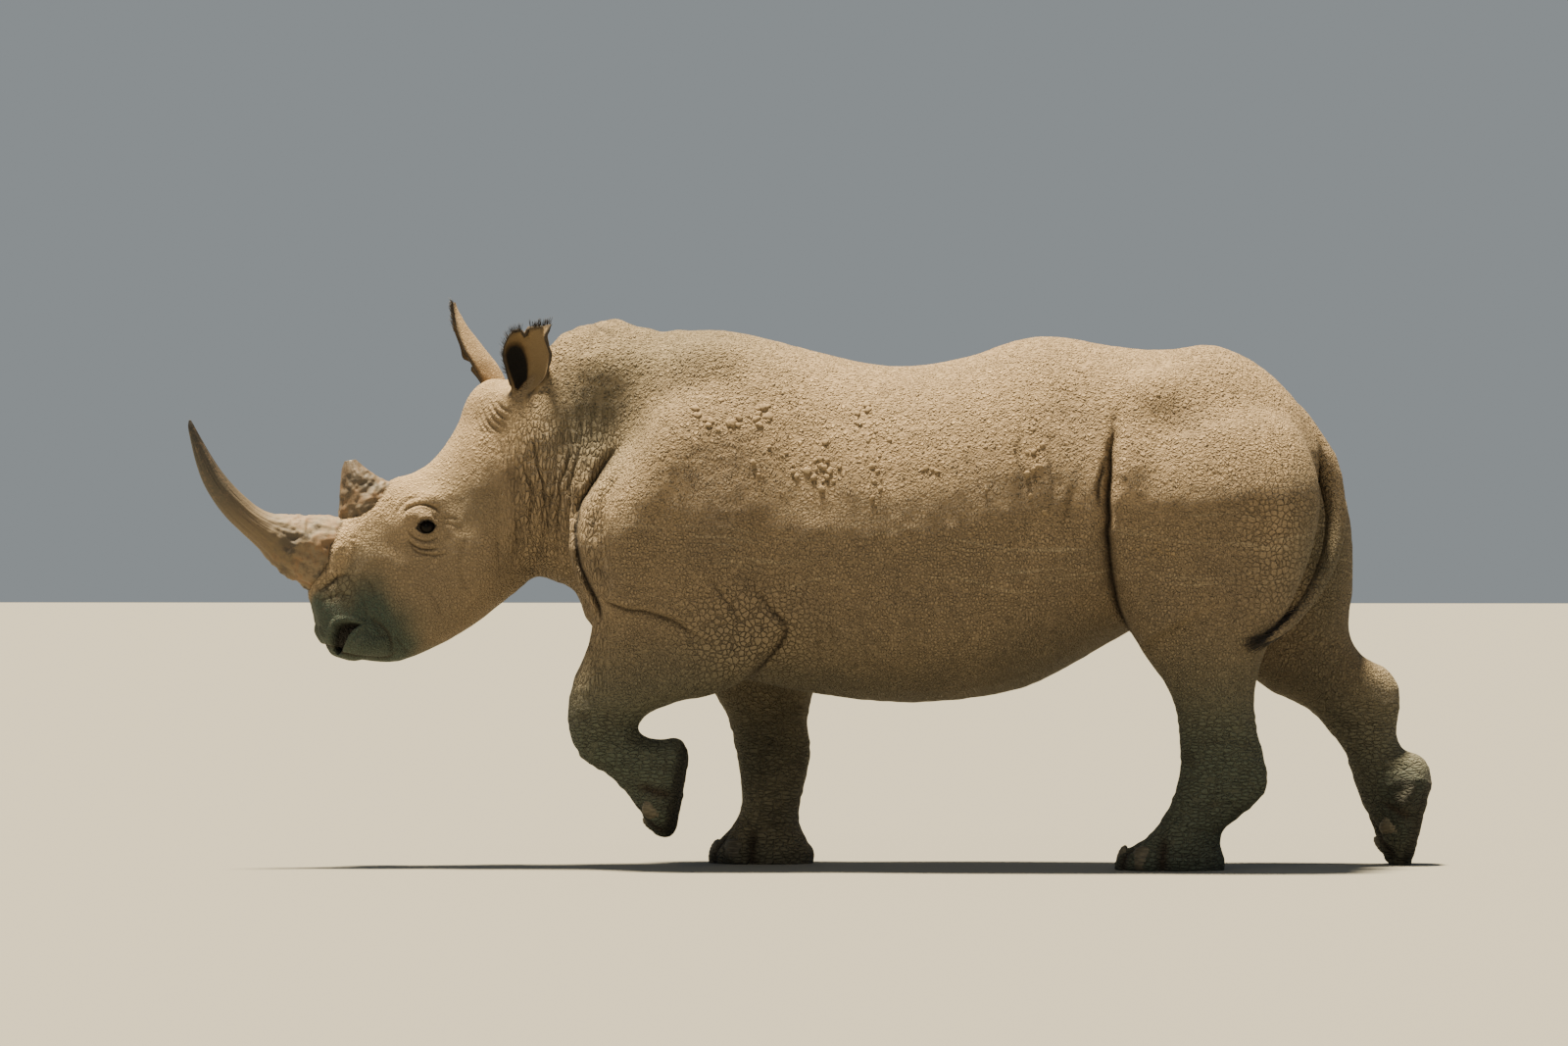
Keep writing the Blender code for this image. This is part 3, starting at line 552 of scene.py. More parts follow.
def near_path(flat, path, reach, closed=False):
    """Which places lie near a path seen from the side, their signed distance from it (plus on
    the left of its course), and the share of its length where they lie."""
    line = np.array(path, dtype=float)
    if closed:
        line = np.vstack((line, line[:1]))
    else:
        line = spline_rows(line, 6)
    low, high = line.min(axis=0) - reach, line.max(axis=0) + reach
    chosen = np.nonzero(((flat > low) & (flat < high)).all(axis=1))[0]
    spots = flat[chosen]
    best = np.full(len(chosen), 1e9)
    signed = np.zeros(len(chosen))
    share = np.zeros(len(chosen))
    lengths = np.linalg.norm(np.diff(line, axis=0), axis=1)
    starts = np.concatenate(([0], np.cumsum(lengths)))
    for k, (start, stop) in enumerate(zip(line, line[1:])):
        way = stop - start
        offset = spots - start
        t = np.clip(offset @ way / (way @ way), 0, 1)
        apart = offset - t[:, None] * way
        distance = np.linalg.norm(apart, axis=1)
        closer = distance < best
        best = np.where(closer, distance, best)
        side = np.sign(way[0] * offset[:, 1] - way[1] * offset[:, 0])
        signed = np.where(closer, side * distance, signed)
        share = np.where(closer, (starts[k] + t * lengths[k]) / starts[-1], share)
    return chosen, signed, share


def press(path, depth, width, lips=(0.0, 0.0), lip_width=0.06, side="both", head=False,
          fade=(0.2, 0.2), wander=0.0):
    """Press a crease along a path, and let the flesh bulge on its left and right. The deep
    folds between two plates go straight in towards the middle of the body."""
    flat = (head_places if head else places)[:, (0, 2)]
    reach = max(3 * width, 2.2 * lip_width if max(lips) > 0 else 0) + wander
    chosen, signed, share = near_path(flat, path, reach)
    signed = signed + wander * value_noise(places[chosen], 0.05, 5)
    start, stop = fade
    mask = smooth(share / start) * smooth((1 - share) / stop) * facing(side)[chosen]
    groove = np.exp(-(np.abs(signed) / width) ** 1.5) * mask
    moved = tuck if depth > 0.012 and not head else relief
    moved[chosen] -= depth * groove
    # The bottom of the crease is darkened: dirt and painted shade
    dirt = bell(signed, 0.45 * width + 0.001) * mask * min(1.0, depth / 0.012)
    dirt = dirt * (width < 0.03)
    cleft[chosen] = np.maximum(cleft[chosen], dirt)
    for sign, lip in zip((1, -1), lips):
        t = np.maximum(sign * signed, 0) / (0.35 * lip_width)
        moved[chosen] += lip * t * np.exp(1 - t) * mask


def swell(centre, radii, height, side="both", head=False):
    """Raise or hollow the hide round a place seen from the side, over muscle or bone."""
    flat = (head_places if head else places)[:, (0, 2)]
    far = (((flat - centre) / radii) ** 2).sum(axis=1)
    chosen = np.nonzero(far < 9)[0]
    relief[chosen] += height * np.exp(-far[chosen]) * facing(side)[chosen]


# Muscle and bone: centre x, z, radii, height
for side, shift in (("left", 0.0), ("right", 0.03)):
    for (x, z), radii, height in (
            ((-0.63, 1.39), (0.17, 0.17), -0.042),      # hollow of the neck
            ((-0.64, 1.60), (0.17, 0.05), 0.012),       # crest of the neck
            ((-0.40, 1.42), (0.10, 0.20), 0.020),       # shoulder blade
            ((0.02, 1.30), (0.10, 0.22), -0.012),       # hollow behind the shoulder
            ((-0.25, 1.05), (0.20, 0.18), 0.014),       # upper arm
            ((-0.52, 1.10), (0.06, 0.16), 0.012),       # point of the shoulder
            ((0.86, 1.40), (0.13, 0.13), -0.010),       # hollow before the hip
            ((1.06, 1.47), (0.09, 0.07), 0.012),        # hip bone
            ((1.22, 1.50), (0.10, 0.08), -0.008),       # hollow of the rump
            ((1.18, 1.10), (0.16, 0.25), 0.012),        # thigh
            ((1.32, 0.93), (0.12, 0.10), 0.006),
            ((0.35, 0.70), (0.30, 0.10), 0.010)):       # belly
        swell((x + shift, z), radii, height, side)
    for k in range(8):
        swell((0.15 + 0.085 * k, 1.15), (0.030, 0.17), 0.0028, side)    # ribs
for x, z in ((-0.774, 1.667), (-0.722, 1.690), (-0.622, 1.714), (-0.513, 1.689), (-0.415, 1.680)):
    swell((x, z), (0.035, 0.022), 0.007)

# Creases of the body: path x, z; depth, width, lips left and right, width of the lips, and the
# shares of the path over which it fades in and out
LEFT_CREASES = (
    # front of the shoulder, behind the neck
    (((-0.56, 1.39), (-0.615, 1.308), (-0.68, 1.19), (-0.708, 1.113), (-0.712, 1.039), (-0.7, 0.967),
     (-0.672, 0.9), (-0.64, 0.83), (-0.628, 0.76)), 0.032, 0.015, (0.02, 0.01), 0.085, (0.28, 0.1)),
    (((-0.467, 1.45), (-0.569, 1.236), (-0.615, 1.134), (-0.611, 1.022), (-0.591, 0.91), (-0.582, 0.829)),
     0.014, 0.046, (0.024, 0), 0.15, (0.25, 0.3)),
    # above the upper arm, and round the elbow
    (((-0.62, 0.838), (-0.54, 0.812), (-0.455, 0.795), (-0.358, 0.755), (-0.263, 0.681)), 0.01, 0.008,
     (0.008, 0), 0.07, (0.05, 0.45)),
    (((-0.23, 1), (-0.16, 0.905), (-0.11, 0.835), (-0.06, 0.785), (-0.052, 0.745), (-0.078, 0.7),
     (-0.125, 0.64), (-0.19, 0.58)), 0.02, 0.011, (0, 0.014), 0.09, (0.85, 0.02)),
    (((-0.29, 0.93), (-0.22, 0.83), (-0.17, 0.75)), 0.004, 0.008, (0, 0.003), 0.04, (0.3, 0.3)),
    # in front of the thigh
    (((0.985, 1.47), (0.969, 1.312), (0.958, 1.118), (0.963, 0.952), (0.986, 0.841), (1.015, 0.755),
     (1.05, 0.69)), 0.034, 0.013, (0.044, 0.01), 0.16, (0.3, 0.02)),
    (((0.948, 1.29), (0.93, 1.188), (0.936, 1.12)), 0.012, 0.008, (0, 0), 0.05, (0.3, 0.3)),
    (((0.777, 1.389), (0.788, 1.215), (0.803, 1.077)), 0.004, 0.01, (0, 0.003), 0.05, (0.4, 0.4)),
    (((0.689, 1.417), (0.681, 1.298), (0.699, 1.146)), 0.003, 0.01, (0, 0.003), 0.05, (0.4, 0.4)),
    (((0.85, 1.215), (0.83, 1.118), (0.796, 1.049)), 0.004, 0.009, (0, 0.003), 0.05, (0.4, 0.4)),
    # belly behind the elbow
    (((0.03, 0.83), (0.055, 0.74), (0.06, 0.64)), 0.004, 0.008, (0, 0), 0.04, (0.4, 0.3)),
    (((0.085, 0.8), (0.1, 0.72), (0.095, 0.64)), 0.003, 0.007, (0, 0), 0.04, (0.4, 0.3)),
)
RIGHT_CREASES = (
    (((-0.541, 1.36), (-0.632, 1.227), (-0.677, 1.129), (-0.688, 1.043), (-0.668, 0.94), (-0.65, 0.869),
     (-0.64, 0.8), (-0.64, 0.76)), 0.028, 0.012, (0.022, 0.01), 0.085, (0.4, 0.1)),
    (((-0.42, 1.45), (-0.5, 1.236), (-0.535, 1.134), (-0.53, 1.022), (-0.51, 0.91)), 0.007, 0.04,
     (0.016, 0), 0.15, (0.35, 0.35)),
    (((-0.54, 0.825), (-0.46, 0.795), (-0.38, 0.77), (-0.28, 0.74)), 0.01, 0.008, (0.008, 0), 0.07,
     (0.15, 0.45)),
    (((-0.16, 1.02), (-0.08, 0.92), (-0.01, 0.85), (0.03, 0.8), (0.04, 0.75), (0.02, 0.69), (0, 0.62)),
     0.02, 0.011, (0, 0.014), 0.09, (0.45, 0.02)),
    (((1.03, 1.47), (1.025, 1.3), (1.04, 1.15), (1.085, 0.98), (1.15, 0.84), (1.25, 0.72)), 0.034, 0.013,
     (0.044, 0.01), 0.16, (0.3, 0.1)),
)
NECK_WRINKLES = (
    ((-0.868, 1.402), (-0.845, 1.299), (-0.829, 1.196), (-0.821, 1.084), (-0.842, 0.96)),
    ((-0.793, 1.319), (-0.78, 1.237), (-0.804, 1.135), (-0.812, 1.022), (-0.816, 0.929)),
    ((-0.898, 1.32), (-0.871, 1.217), (-0.862, 1.114), (-0.877, 0.991)),
    ((-0.73, 1.381), (-0.75, 1.278), (-0.771, 1.176), (-0.778, 1.073), (-0.782, 0.939)),
    ((-0.69, 1.42), (-0.715, 1.3), (-0.738, 1.18), (-0.745, 1.06), (-0.735, 0.95)),
)
for side, creases in (("left", LEFT_CREASES), ("right", RIGHT_CREASES)):
    for path, depth, width, lips, lip_width, fade in creases:
        press(path, depth, width, lips, lip_width, side, fade=fade, wander=0.005)
for path in NECK_WRINKLES:
    press(path, 0.006, 0.006, (0.003, 0.003), 0.025, fade=(0.4, 0.4), wander=0.010)
press(((0.952, 1.354), (0.906, 1.091), (0.863, 0.897), (0.793, 0.786)), -0.008, 0.030,
      side="left", fade=(0.3, 0.3))

# Creases of the head, the same on both sides: path on the straight head, depth, width
HEAD_CREASES = (
    # lids above and below the eye
    (((-1.292, 1.104), (-1.27, 1.124), (-1.24, 1.13), (-1.21, 1.116)), 0.002, 0.003),
    (((-1.316, 1.092), (-1.294, 1.128), (-1.252, 1.144), (-1.208, 1.132), (-1.186, 1.1)), 0.009, 0.005),
    (((-1.3, 1.075), (-1.278, 1.042), (-1.24, 1.026), (-1.206, 1.034), (-1.19, 1.052)), 0.006, 0.004),
    (((-1.302, 1.046), (-1.276, 1.013), (-1.23, 0.999), (-1.186, 1.012)), 0.008, 0.0042),
    (((-1.292, 1.022), (-1.26, 0.99), (-1.216, 0.982), (-1.16, 0.99)), 0.006, 0.0042),
    (((-1.336, 1.088), (-1.318, 1.13), (-1.284, 1.158), (-1.235, 1.166)), 0.0045, 0.005),
    (((-1.186, 1.095), (-1.16, 1.098), (-1.13, 1.09)), 0.0025, 0.004),
    (((-1.184, 1.08), (-1.155, 1.078), (-1.12, 1.066)), 0.0025, 0.004),
    # folds of the muzzle above the nostril
    (((-1.583, 0.857), (-1.563, 0.873), (-1.523, 0.899), (-1.508, 0.914), (-1.47, 0.925)), 0.01, 0.0065),
    (((-1.575, 0.825), (-1.545, 0.845), (-1.505, 0.858), (-1.46, 0.855)), 0.005, 0.005),
    (((-1.44, 0.93), (-1.405, 0.89), (-1.395, 0.84)), 0.004, 0.006),
    (((-1.4, 0.8), (-1.385, 0.75), (-1.35, 0.715)), 0.005, 0.007),
    # line of the mouth and the corner of the lips
    (((-1.605, 0.712), (-1.55, 0.7), (-1.48, 0.668), (-1.402, 0.656), (-1.345, 0.655), (-1.322, 0.68),
     (-1.308, 0.712)), 0.014, 0.006),
    (((-1.335, 0.735), (-1.3, 0.69), (-1.27, 0.665)), 0.005, 0.006),
    (((-1.42, 0.79), (-1.375, 0.762), (-1.347, 0.73), (-1.338, 0.69), (-1.345, 0.655)), 0.008, 0.009),
    # roots of the ears
    (((-1.054, 1.455), (-1.04, 1.403), (-0.992, 1.356)), 0.005, 0.005),
    (((-1.046, 1.47), (-1.028, 1.418), (-0.98, 1.38)), 0.004, 0.0045),
    (((-1.038, 1.485), (-1.016, 1.433), (-0.972, 1.402)), 0.0055, 0.005),
    (((-1.064, 1.45), (-1.055, 1.398), (-1.015, 1.35)), 0.0035, 0.0045),
    (((-1.073, 1.445), (-1.069, 1.393), (-1.042, 1.351)), 0.004, 0.0045),
    (((-1.03, 1.5), (-1.002, 1.45), (-0.955, 1.425)), 0.004, 0.0045),
    (((-1.02, 1.37), (-1, 1.32), (-0.985, 1.25)), 0.003, 0.005),
    (((-0.985, 1.4), (-0.975, 1.33), (-0.965, 1.24)), 0.003, 0.005),
    # cracks of the muzzle
    (((-1.56, 0.905), (-1.535, 0.86), (-1.53, 0.815)), 0.004, 0.004),
    (((-1.53, 0.93), (-1.5, 0.88), (-1.492, 0.82)), 0.0035, 0.004),
    (((-1.5, 0.95), (-1.465, 0.9), (-1.45, 0.85)), 0.0035, 0.004),
    (((-1.59, 0.79), (-1.565, 0.76), (-1.548, 0.715)), 0.0035, 0.0045),
    (((-1.44, 0.87), (-1.42, 0.81), (-1.425, 0.76)), 0.003, 0.0045),
    (((-1.42, 0.735), (-1.37, 0.725), (-1.33, 0.735)), 0.0035, 0.005),
    # cheek and jaw
    (((-1.01, 1.08), (-1.005, 0.98), (-1, 0.89)), 0.003, 0.006),
    (((-1.25, 0.9), (-1.2, 0.83), (-1.17, 0.77)), 0.0025, 0.007),
    (((-1.1, 1.06), (-1.13, 0.98), (-1.12, 0.9), (-1.08, 0.84)), 0.003, 0.008),
    (((-0.96, 1.14), (-0.95, 1.04), (-0.945, 0.95)), 0.006, 0.009),
)
for path, depth, width in HEAD_CREASES:
    press(path, depth, width, head=True, fade=(0.3, 0.3), wander=0.0025)
for (x, z), radii, height in (
        ((-1.240, 1.170), (0.060, 0.030), 0.006),       # brow
        ((-1.330, 1.020), (0.060, 0.050), -0.008),      # hollow before the eye
        ((-1.150, 1.150), (0.090, 0.070), -0.005),      # temple
        ((-1.250, 1.108), (0.040, 0.017), 0.009),       # fullness of the upper lid
        ((-1.452, 0.708), (0.028, 0.032), 0.009),       # wing of the nostril
        ((-1.425, 0.705), (0.060, 0.035), 0.010),       # lip
        ((-1.380, 0.900), (0.050, 0.060), -0.006)):     # side of the muzzle
    swell((x, z), radii, height, head=True)

# Unevenness: broad swells everywhere, upright wrinkles on the neck, level ones on the legs
relief += 0.0030 * value_noise(places, 0.30, 11)
relief += 0.0010 * value_noise(places, 0.075, 12)
neck = smooth((places[:, 0] + 1.02) / 0.14) * smooth((-0.52 - places[:, 0]) / 0.14)
upright = value_noise(places * (1, 0.5, 0.22), 0.017, 13)
relief += 0.0026 * neck * upright
# The bottoms of the neck wrinkles are darkened: dirt and painted shade
cleft = np.maximum(cleft, neck * smooth(-upright * 1.5 - 0.35) * 0.5)
low = smooth((0.62 - places[:, 2]) / 0.15)
level = value_noise(places * (0.30, 0.30, 1), 0.016, 14)
relief += 0.0026 * low * level
# The bottoms of the leg wrinkles are darkened: dirt and painted shade
cleft = np.maximum(cleft, low * smooth(-level * 1.5 - 0.35) * 0.4)
skin_lumps = value_noise(places, 0.028, 15)
relief += 0.0011 * skin_lumps

# Feet: middle of the sole, forward along the sole, up into the leg
FEET = {
    "fore_left": ((-0.412, -0.24, 0.250), (-0.22, 0.0, -0.975), (-0.975, 0.0, 0.22)),
    "fore_right": ((-0.168, 0.21, 0.0), (-1.0, 0.0, 0.0), (0.0, 0.0, 1.0)),
    "hind_left": ((1.145, -0.25, 0.0), (-1.0, 0.0, 0.0), (0.0, 0.0, 1.0)),
    "hind_right": ((1.905, 0.22, 0.170), (-0.45, 0.0, -0.893), (-0.893, 0.0, 0.45)),
}
sole = np.zeros(len(places))
for middle, forward, up in FEET.values():
    offset = places - middle
    height = offset @ up
    ahead, aside = offset @ np.array(forward), offset @ np.cross(up, forward)
    angle = np.degrees(np.arctan2(np.abs(aside), ahead))
    reach = np.hypot(ahead, aside)
    here = (reach < 0.20) & (height > -0.06) & (height < 0.20)
    band = here * smooth((height + 0.03) / 0.04) * smooth((0.135 - height) / 0.06)
    band = band * smooth((reach - 0.04) / 0.05)
    for groove in (27, 82):
        dip = bell(angle - groove, 8) * band
        relief -= 0.009 * dip
        # The grooves between the toes are darkened: dirt and painted shade
        cleft = np.maximum(cleft, dip)
    relief += 0.006 * bell(height - 0.035, 0.028) * here * smooth((reach - 0.06) / 0.04)
    sole = np.maximum(sole, here * smooth((0.006 - height) / 0.010)
                      * smooth(-(normals @ np.array(up)) * 2))

# Nostrils: a deep comma with a raised rim
flat = head_places[:, (0, 2)]
chosen, signed, _ = near_path(flat, NOSTRIL, 0.035, closed=True)
within = np.zeros(len(chosen), dtype=bool)
for (x_a, z_a), (x_b, z_b) in zip(NOSTRIL, NOSTRIL[1:] + NOSTRIL[:1]):
    x, z = flat[chosen].T
    crosses = (z_a > z) != (z_b > z)
    within ^= crosses & (x < x_a + (z - z_a) * (x_b - x_a) / (z_b - z_a + 1e-9))
inside = np.where(within, np.abs(signed), -np.abs(signed))
rim = bell(-inside - 0.008, 0.008)
outer = smooth((np.abs(head_places[chosen, 1]) - 0.06) / 0.04)
# The dark inside of each nostril: its lining, and painted shade in its hole
nostril = np.zeros(len(places))
nostril[chosen] = smooth((inside + 0.001) / 0.010) * outer
relief[chosen] += 0.005 * rim * outer

# Collar of the horns: a rough band of skin where the horn fibres start
COLLAR_REACH = 0.055        # how far from a horn's surface its collar goes


def surface_tree(*items):
    """A search tree over the faces of some objects."""
    shape = bmesh.new()
    for item in items:
        shape.from_mesh(item.data)
    tree = BVHTree.FromBMesh(shape)
    shape.free()
    return tree


horn_tree = surface_tree(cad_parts["horn_front"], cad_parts["horn_rear"])
collar = np.zeros(len(places))
for k in np.nonzero(places[:, 0] < -1.22)[0]:
    found = horn_tree.find_nearest(Vector(places[k]), COLLAR_REACH)
    if found[0] is not None:
        collar[k] = 1 - found[3] / COLLAR_REACH
grit = value_noise(places, 0.009, 21)
relief += smooth(collar * 1.5) * smooth((0.93 - collar) / 0.12) * (0.003 + 0.0020 * grit)
# The crease at the root of each horn is darkened: dirt and painted shade
cleft = np.maximum(cleft, 0.8 * smooth((collar - 0.86) / 0.10))

places = places + normals * relief[:, None]
places[:, 1] += np.sign(places[:, 1]) * tuck
inward = np.where(head_places[:, 1] > 0, -1, 1)
hole = np.stack((0.45 * np.ones(len(places)), inward * 0.85, -0.1 * np.ones(len(places))), axis=1)
places = places + turned_way(hole) * (nostril * 0.040)[:, None]

# Eyelids: thick folds drawn over the eyeball, with a slit that comes to a point in front
lid = np.zeros(len(places))
lid_frames = {}
for side, sign in EYES.items():
    middle = np.array(eye_middle[side])
    away = np.linalg.norm(places - middle, axis=1)
    ring = np.nonzero((away > 0.028) & (away < 0.060) & (normals[:, 1] * sign > 0))[0]
    out = unit(normals[ring].mean(axis=0))
    ahead = turned_way((-1.0, 0.0, -0.12))
    ahead = unit(ahead - out * (ahead @ out))
    up = np.cross(out, ahead)
    up = up if up[2] > 0 else -up
    lid_frames[side] = (out, ahead, up)
    chosen = np.nonzero((away < 0.080) & ((places - middle) @ out > -0.015))[0]
    offset = places[chosen] - middle
    a, b, c = offset @ ahead, offset @ up, offset @ out
    far = np.hypot(a, b)
    ball = np.sqrt(np.maximum((EYE_RADIUS + 0.0035) ** 2 - far ** 2, 0))
    # The lid lies on the ball near the eye and runs out into the cheek further away
    share = smooth((0.046 - far) / 0.026)
    lid_height = c * (1 - share) + np.maximum(ball, c * 0.9) * share
    # The slit: half its height above and below, half its length in front and behind
    half = np.where(b > 0, 0.0190, 0.0195)
    span = np.where(a > 0, 0.0345, 0.0275)
    slit = half * np.maximum(1 - (np.abs(a) / span) ** 2.6, 0) + 0.0004
    open_share = smooth((slit - np.abs(b)) / 0.0016 + 0.5) * (np.abs(a) < span)
    # The rims of the lids, the floor behind the ball, and the hood of skin over the upper lid
    brim = bell(np.abs(b) - slit - 0.0028, 0.0022) * (np.abs(a) < span * 1.1)
    behind = np.sqrt(np.maximum((EYE_RADIUS - 0.006) ** 2 - far ** 2, 0))
    bottom = np.where(far < EYE_RADIUS - 0.004, behind, np.minimum(c, 0.010) - 0.004)
    hood = bell(b - slit - 0.0115, 0.0085) * smooth((0.044 - np.abs(a)) / 0.018)
    lid_height += 0.0016 * brim + 0.0080 * hood
    height = lid_height * (1 - open_share) + bottom * open_share
    places[chosen] += out * (height - c)[:, None]
    lid[chosen] = np.maximum(lid[chosen], bell(np.maximum(np.abs(b) - slit, 0), 0.0038)
                             * (np.abs(a) < span * 1.15))

# Only the flats of the soles reach the floor
places[:, 2] = np.maximum(places[:, 2], 0.0)
write_places(hide.data, places)

# ---------------------------------------------------------------- the hide: colour and finish
# Grey-brown skin under a coat of dried, pale dust, paler where it faces up, partly as painted light. The
# dust wears off the muzzle and the legs, which are also darkened as painted shade, and dirt and painted
# shade darken the cracks and creases; painted shade lies in a few hollows too. The cracks part the skin
# into scales of 10 to 18 mm.


def keep_numbers(mesh, **numbers):
    """Store named numbers for each point of a mesh, for its material to read."""
    for name, values in numbers.items():
        layer = mesh.attributes.new(name, "FLOAT", "POINT")
        layer.data.foreach_set("value", np.ascontiguousarray(values, dtype=np.float32))


x_head, _, z_head = head_places.T
x_body, y_body, z_body = places.T
is_head = smooth((-0.86 - x_body) / 0.10)
uneven = value_noise(places, 0.09, 51) * 0.030 + value_noise(places, 0.035, 52) * 0.012
# Dark hide, partly its own colour and partly painted shade: the muzzle up to a ragged edge and the
# underside of the jaw, the lower legs, less on the right side, and the trailing hind foot all round; then
# painted shade on some places of the body, each with its share, middle x and z and reach along both
muzzle = smooth((-1.250 - x_head + (0.86 - z_head) * 0.45 + uneven) / 0.17)
muzzle = muzzle * smooth((0.945 - z_head + uneven) / 0.15)
muzzle = np.maximum(muzzle, is_head * smooth((0.72 - z_head) / 0.06) * 0.6)
legs = 0.90 * smooth((0.90 - z_body) / 0.56) * smooth((x_body + 1.0) / 0.1)
legs = legs * (1 - 0.45 * bell(x_body - 0.40, 0.38))
legs = legs * (1 - 0.25 * smooth(y_body / 0.10))
trodden = bell(x_body - 1.88, 0.09) * bell(z_body - 0.20, 0.13)
shaded = 0.50 * trodden
for share, x, z, radius_x, radius_z in (
        (0.55, -0.67, 1.39, 0.19, 0.21),        # hollow of the neck
        (0.40, -0.40, 1.65, 0.36, 0.16),        # top of the shoulders
        (0.22, -1.06, 1.15, 0.12, 0.10),        # behind the eye
        (0.38, -1.46, 0.92, 0.13, 0.10),        # bridge of the snout
        (0.18, -1.23, 0.76, 0.10, 0.09),        # jaw
        (0.50, 1.63, 1.00, 0.11, 0.27)):        # under the tail
    shaded += share * bell(x_body - x, radius_x) * bell(z_body - z, radius_z)
dark = np.clip(np.maximum(muzzle * 0.97 * (x_body < -1.1), legs) + shaded, 0, 1)
# Where each pattern of the skin lies, where dust lies with painted light on faces that look up, where
# painted shade darkens the body towards the bottom, and where scratches lie
upright_share = neck * smooth((1.50 - z_body) / 0.18)
level_share = smooth((0.60 - z_body) / 0.15) * smooth((x_body + 1.0) / 0.1)
scaly = bell(x_body + 0.16, 0.30) * bell(z_body - 0.72, 0.26)
scaly = np.maximum(scaly, 0.8 * bell(x_body - 1.50, 0.22) * bell(z_body - 0.95, 0.34))
scaly = np.maximum(scaly, bell(x_head + 1.52, 0.11) * bell(z_head - 0.87, 0.09))
hatched = smooth((z_body - 0.98) / 0.25) * (1 - 0.6 * upright_share)
# Paler where the surface faces up: dust, and painted light
dust = smooth(normals[:, 2] * 0.9 + 0.25)
# Darker and browner towards the bottom of the body: painted shade
soil = smooth((1.28 - z_body) / 0.34)
scratched = smooth((0.20 - np.abs(z_body - 0.99)) / 0.10) * smooth((x_body + 0.62) / 0.15)

# The ears: their inside, the painted shadow deep in each cup, and their rims, found from the sheets they
# grew from
ear_inside, ear_rim, ear_depth = np.zeros((3, len(places)))
supple = 0.45 * is_head                 # thin skin, which the fine relief hardly marks
for side, sheet in ear_sheets.items():
    bulge = unit(np.array(EAR_BULGE[side]))
    grid = sheet.reshape(-1, 3)
    middle, reach = grid.mean(axis=0), np.ptp(grid, axis=0) / 2 + 0.02
    near = np.nonzero((np.abs(places - middle) < reach).all(axis=1))[0]
    rims = np.concatenate((sheet[:, 0], sheet[:, -1], sheet[-1]))
    for part in np.array_split(near, max(1, len(near) // 4000)):
        gaps = np.linalg.norm(places[part][:, None] - grid[None], axis=2)
        nearest = gaps.argmin(axis=1)
        apart = gaps[np.arange(len(part)), nearest]
        toward = ((places[part] - grid[nearest]) @ bulge) < 0
        ear_inside[part] = np.where(toward, smooth((0.016 - apart) / 0.006), 0)
        supple[part] = np.maximum(supple[part], smooth((0.024 - apart) / 0.014))
        row, column = np.divmod(nearest, sheet.shape[1])
        height = row / sheet.shape[0]
        aside = (column / sheet.shape[1] - 0.29 + 0.16 * height) / (0.08 + 0.30 * height)
        shade = smooth((1.35 - np.hypot(aside, (height - 0.37) / 0.37)) / 0.75)
        ear_depth[part] = ear_inside[part] * shade
        edge_gap = np.linalg.norm(places[part][:, None] - rims[None], axis=2).min(axis=1)
        ear_rim[part] = smooth((0.012 - edge_gap) / 0.008)

keep_numbers(hide.data, cleft=np.clip(np.maximum(cleft, 0.70 * trodden), 0, 1), lid=lid,
             nostril=nostril, collar=collar, sole=sole, dark=dark, upright=upright_share,
             level=level_share, scaly=scaly, hatched=hatched, dust=dust, scratched=scratched,
             soil=soil, ear_inside=ear_inside, ear_rim=ear_rim, ear_depth=ear_depth,
             supple=supple)
HIDE_FACES = 195000
modified(hide, "TRIANGULATE")
modified(hide, "DECIMATE", ratio=min(1.0, HIDE_FACES / len(hide.data.polygons)))
hide.data.shade_smooth()


def colour(code):
    """An sRGB hex colour as linear light."""
    parts = [int(code[k:k + 2], 16) / 255 for k in (1, 3, 5)]
    return (*(p / 12.92 if p <= 0.04045 else ((p + 0.055) / 1.055) ** 2.4 for p in parts), 1.0)


def new_material(name):
    """An empty material with its shader."""
    material = bpy.data.materials.new(name)
    material.use_nodes = True
    return material, material.node_tree, material.node_tree.nodes["Principled BSDF"]


def plug(tree, node, inputs):
    """Give a node its inputs: values, sockets, or nodes that stand for their first output."""
    for key, value in inputs.items():
        if isinstance(value, bpy.types.Node):
            value = value.outputs[0]
        if isinstance(value, bpy.types.NodeSocket):
            tree.links.new(value, node.inputs[key])
        else:
            node.inputs[key].default_value = value


def add_node(tree, kind, settings=None, inputs=None):
    """A node with its settings and its inputs."""
    made = tree.nodes.new(kind)
    for key, value in (settings or {}).items():
        setattr(made, key, value)
    plug(tree, made, inputs or {})
    return made


def number(tree, name):
    """The socket that reads a number kept on the mesh."""
    return add_node(tree, "ShaderNodeAttribute", {"attribute_name": name}).outputs["Fac"]


def calculate(tree, operation, *values):
    return add_node(tree, "ShaderNodeMath", {"operation": operation}, dict(enumerate(values)))


def displace(tree, place, by, sizes):
    """A place moved by a noise's colour times some sizes along x, y and z."""
    return add_node(tree, "ShaderNodeVectorMath", {"operation": "MULTIPLY_ADD"},
                    {0: by.outputs["Color"], 1: sizes, 2: place})


def noise(tree, place, scale, detail, roughness=0.5):
    return add_node(tree, "ShaderNodeTexNoise", None,
                    {"Vector": place, "Scale": scale, "Detail": detail, "Roughness": roughness})


def spread(tree, value, low, high, most=1.0, least=0.0):
    """Numbers that go from least to most as the value goes from low to high."""
    return add_node(tree, "ShaderNodeMapRange", None,
                    {"Value": value, "From Min": low, "From Max": high,
                     "To Min": least, "To Max": most})


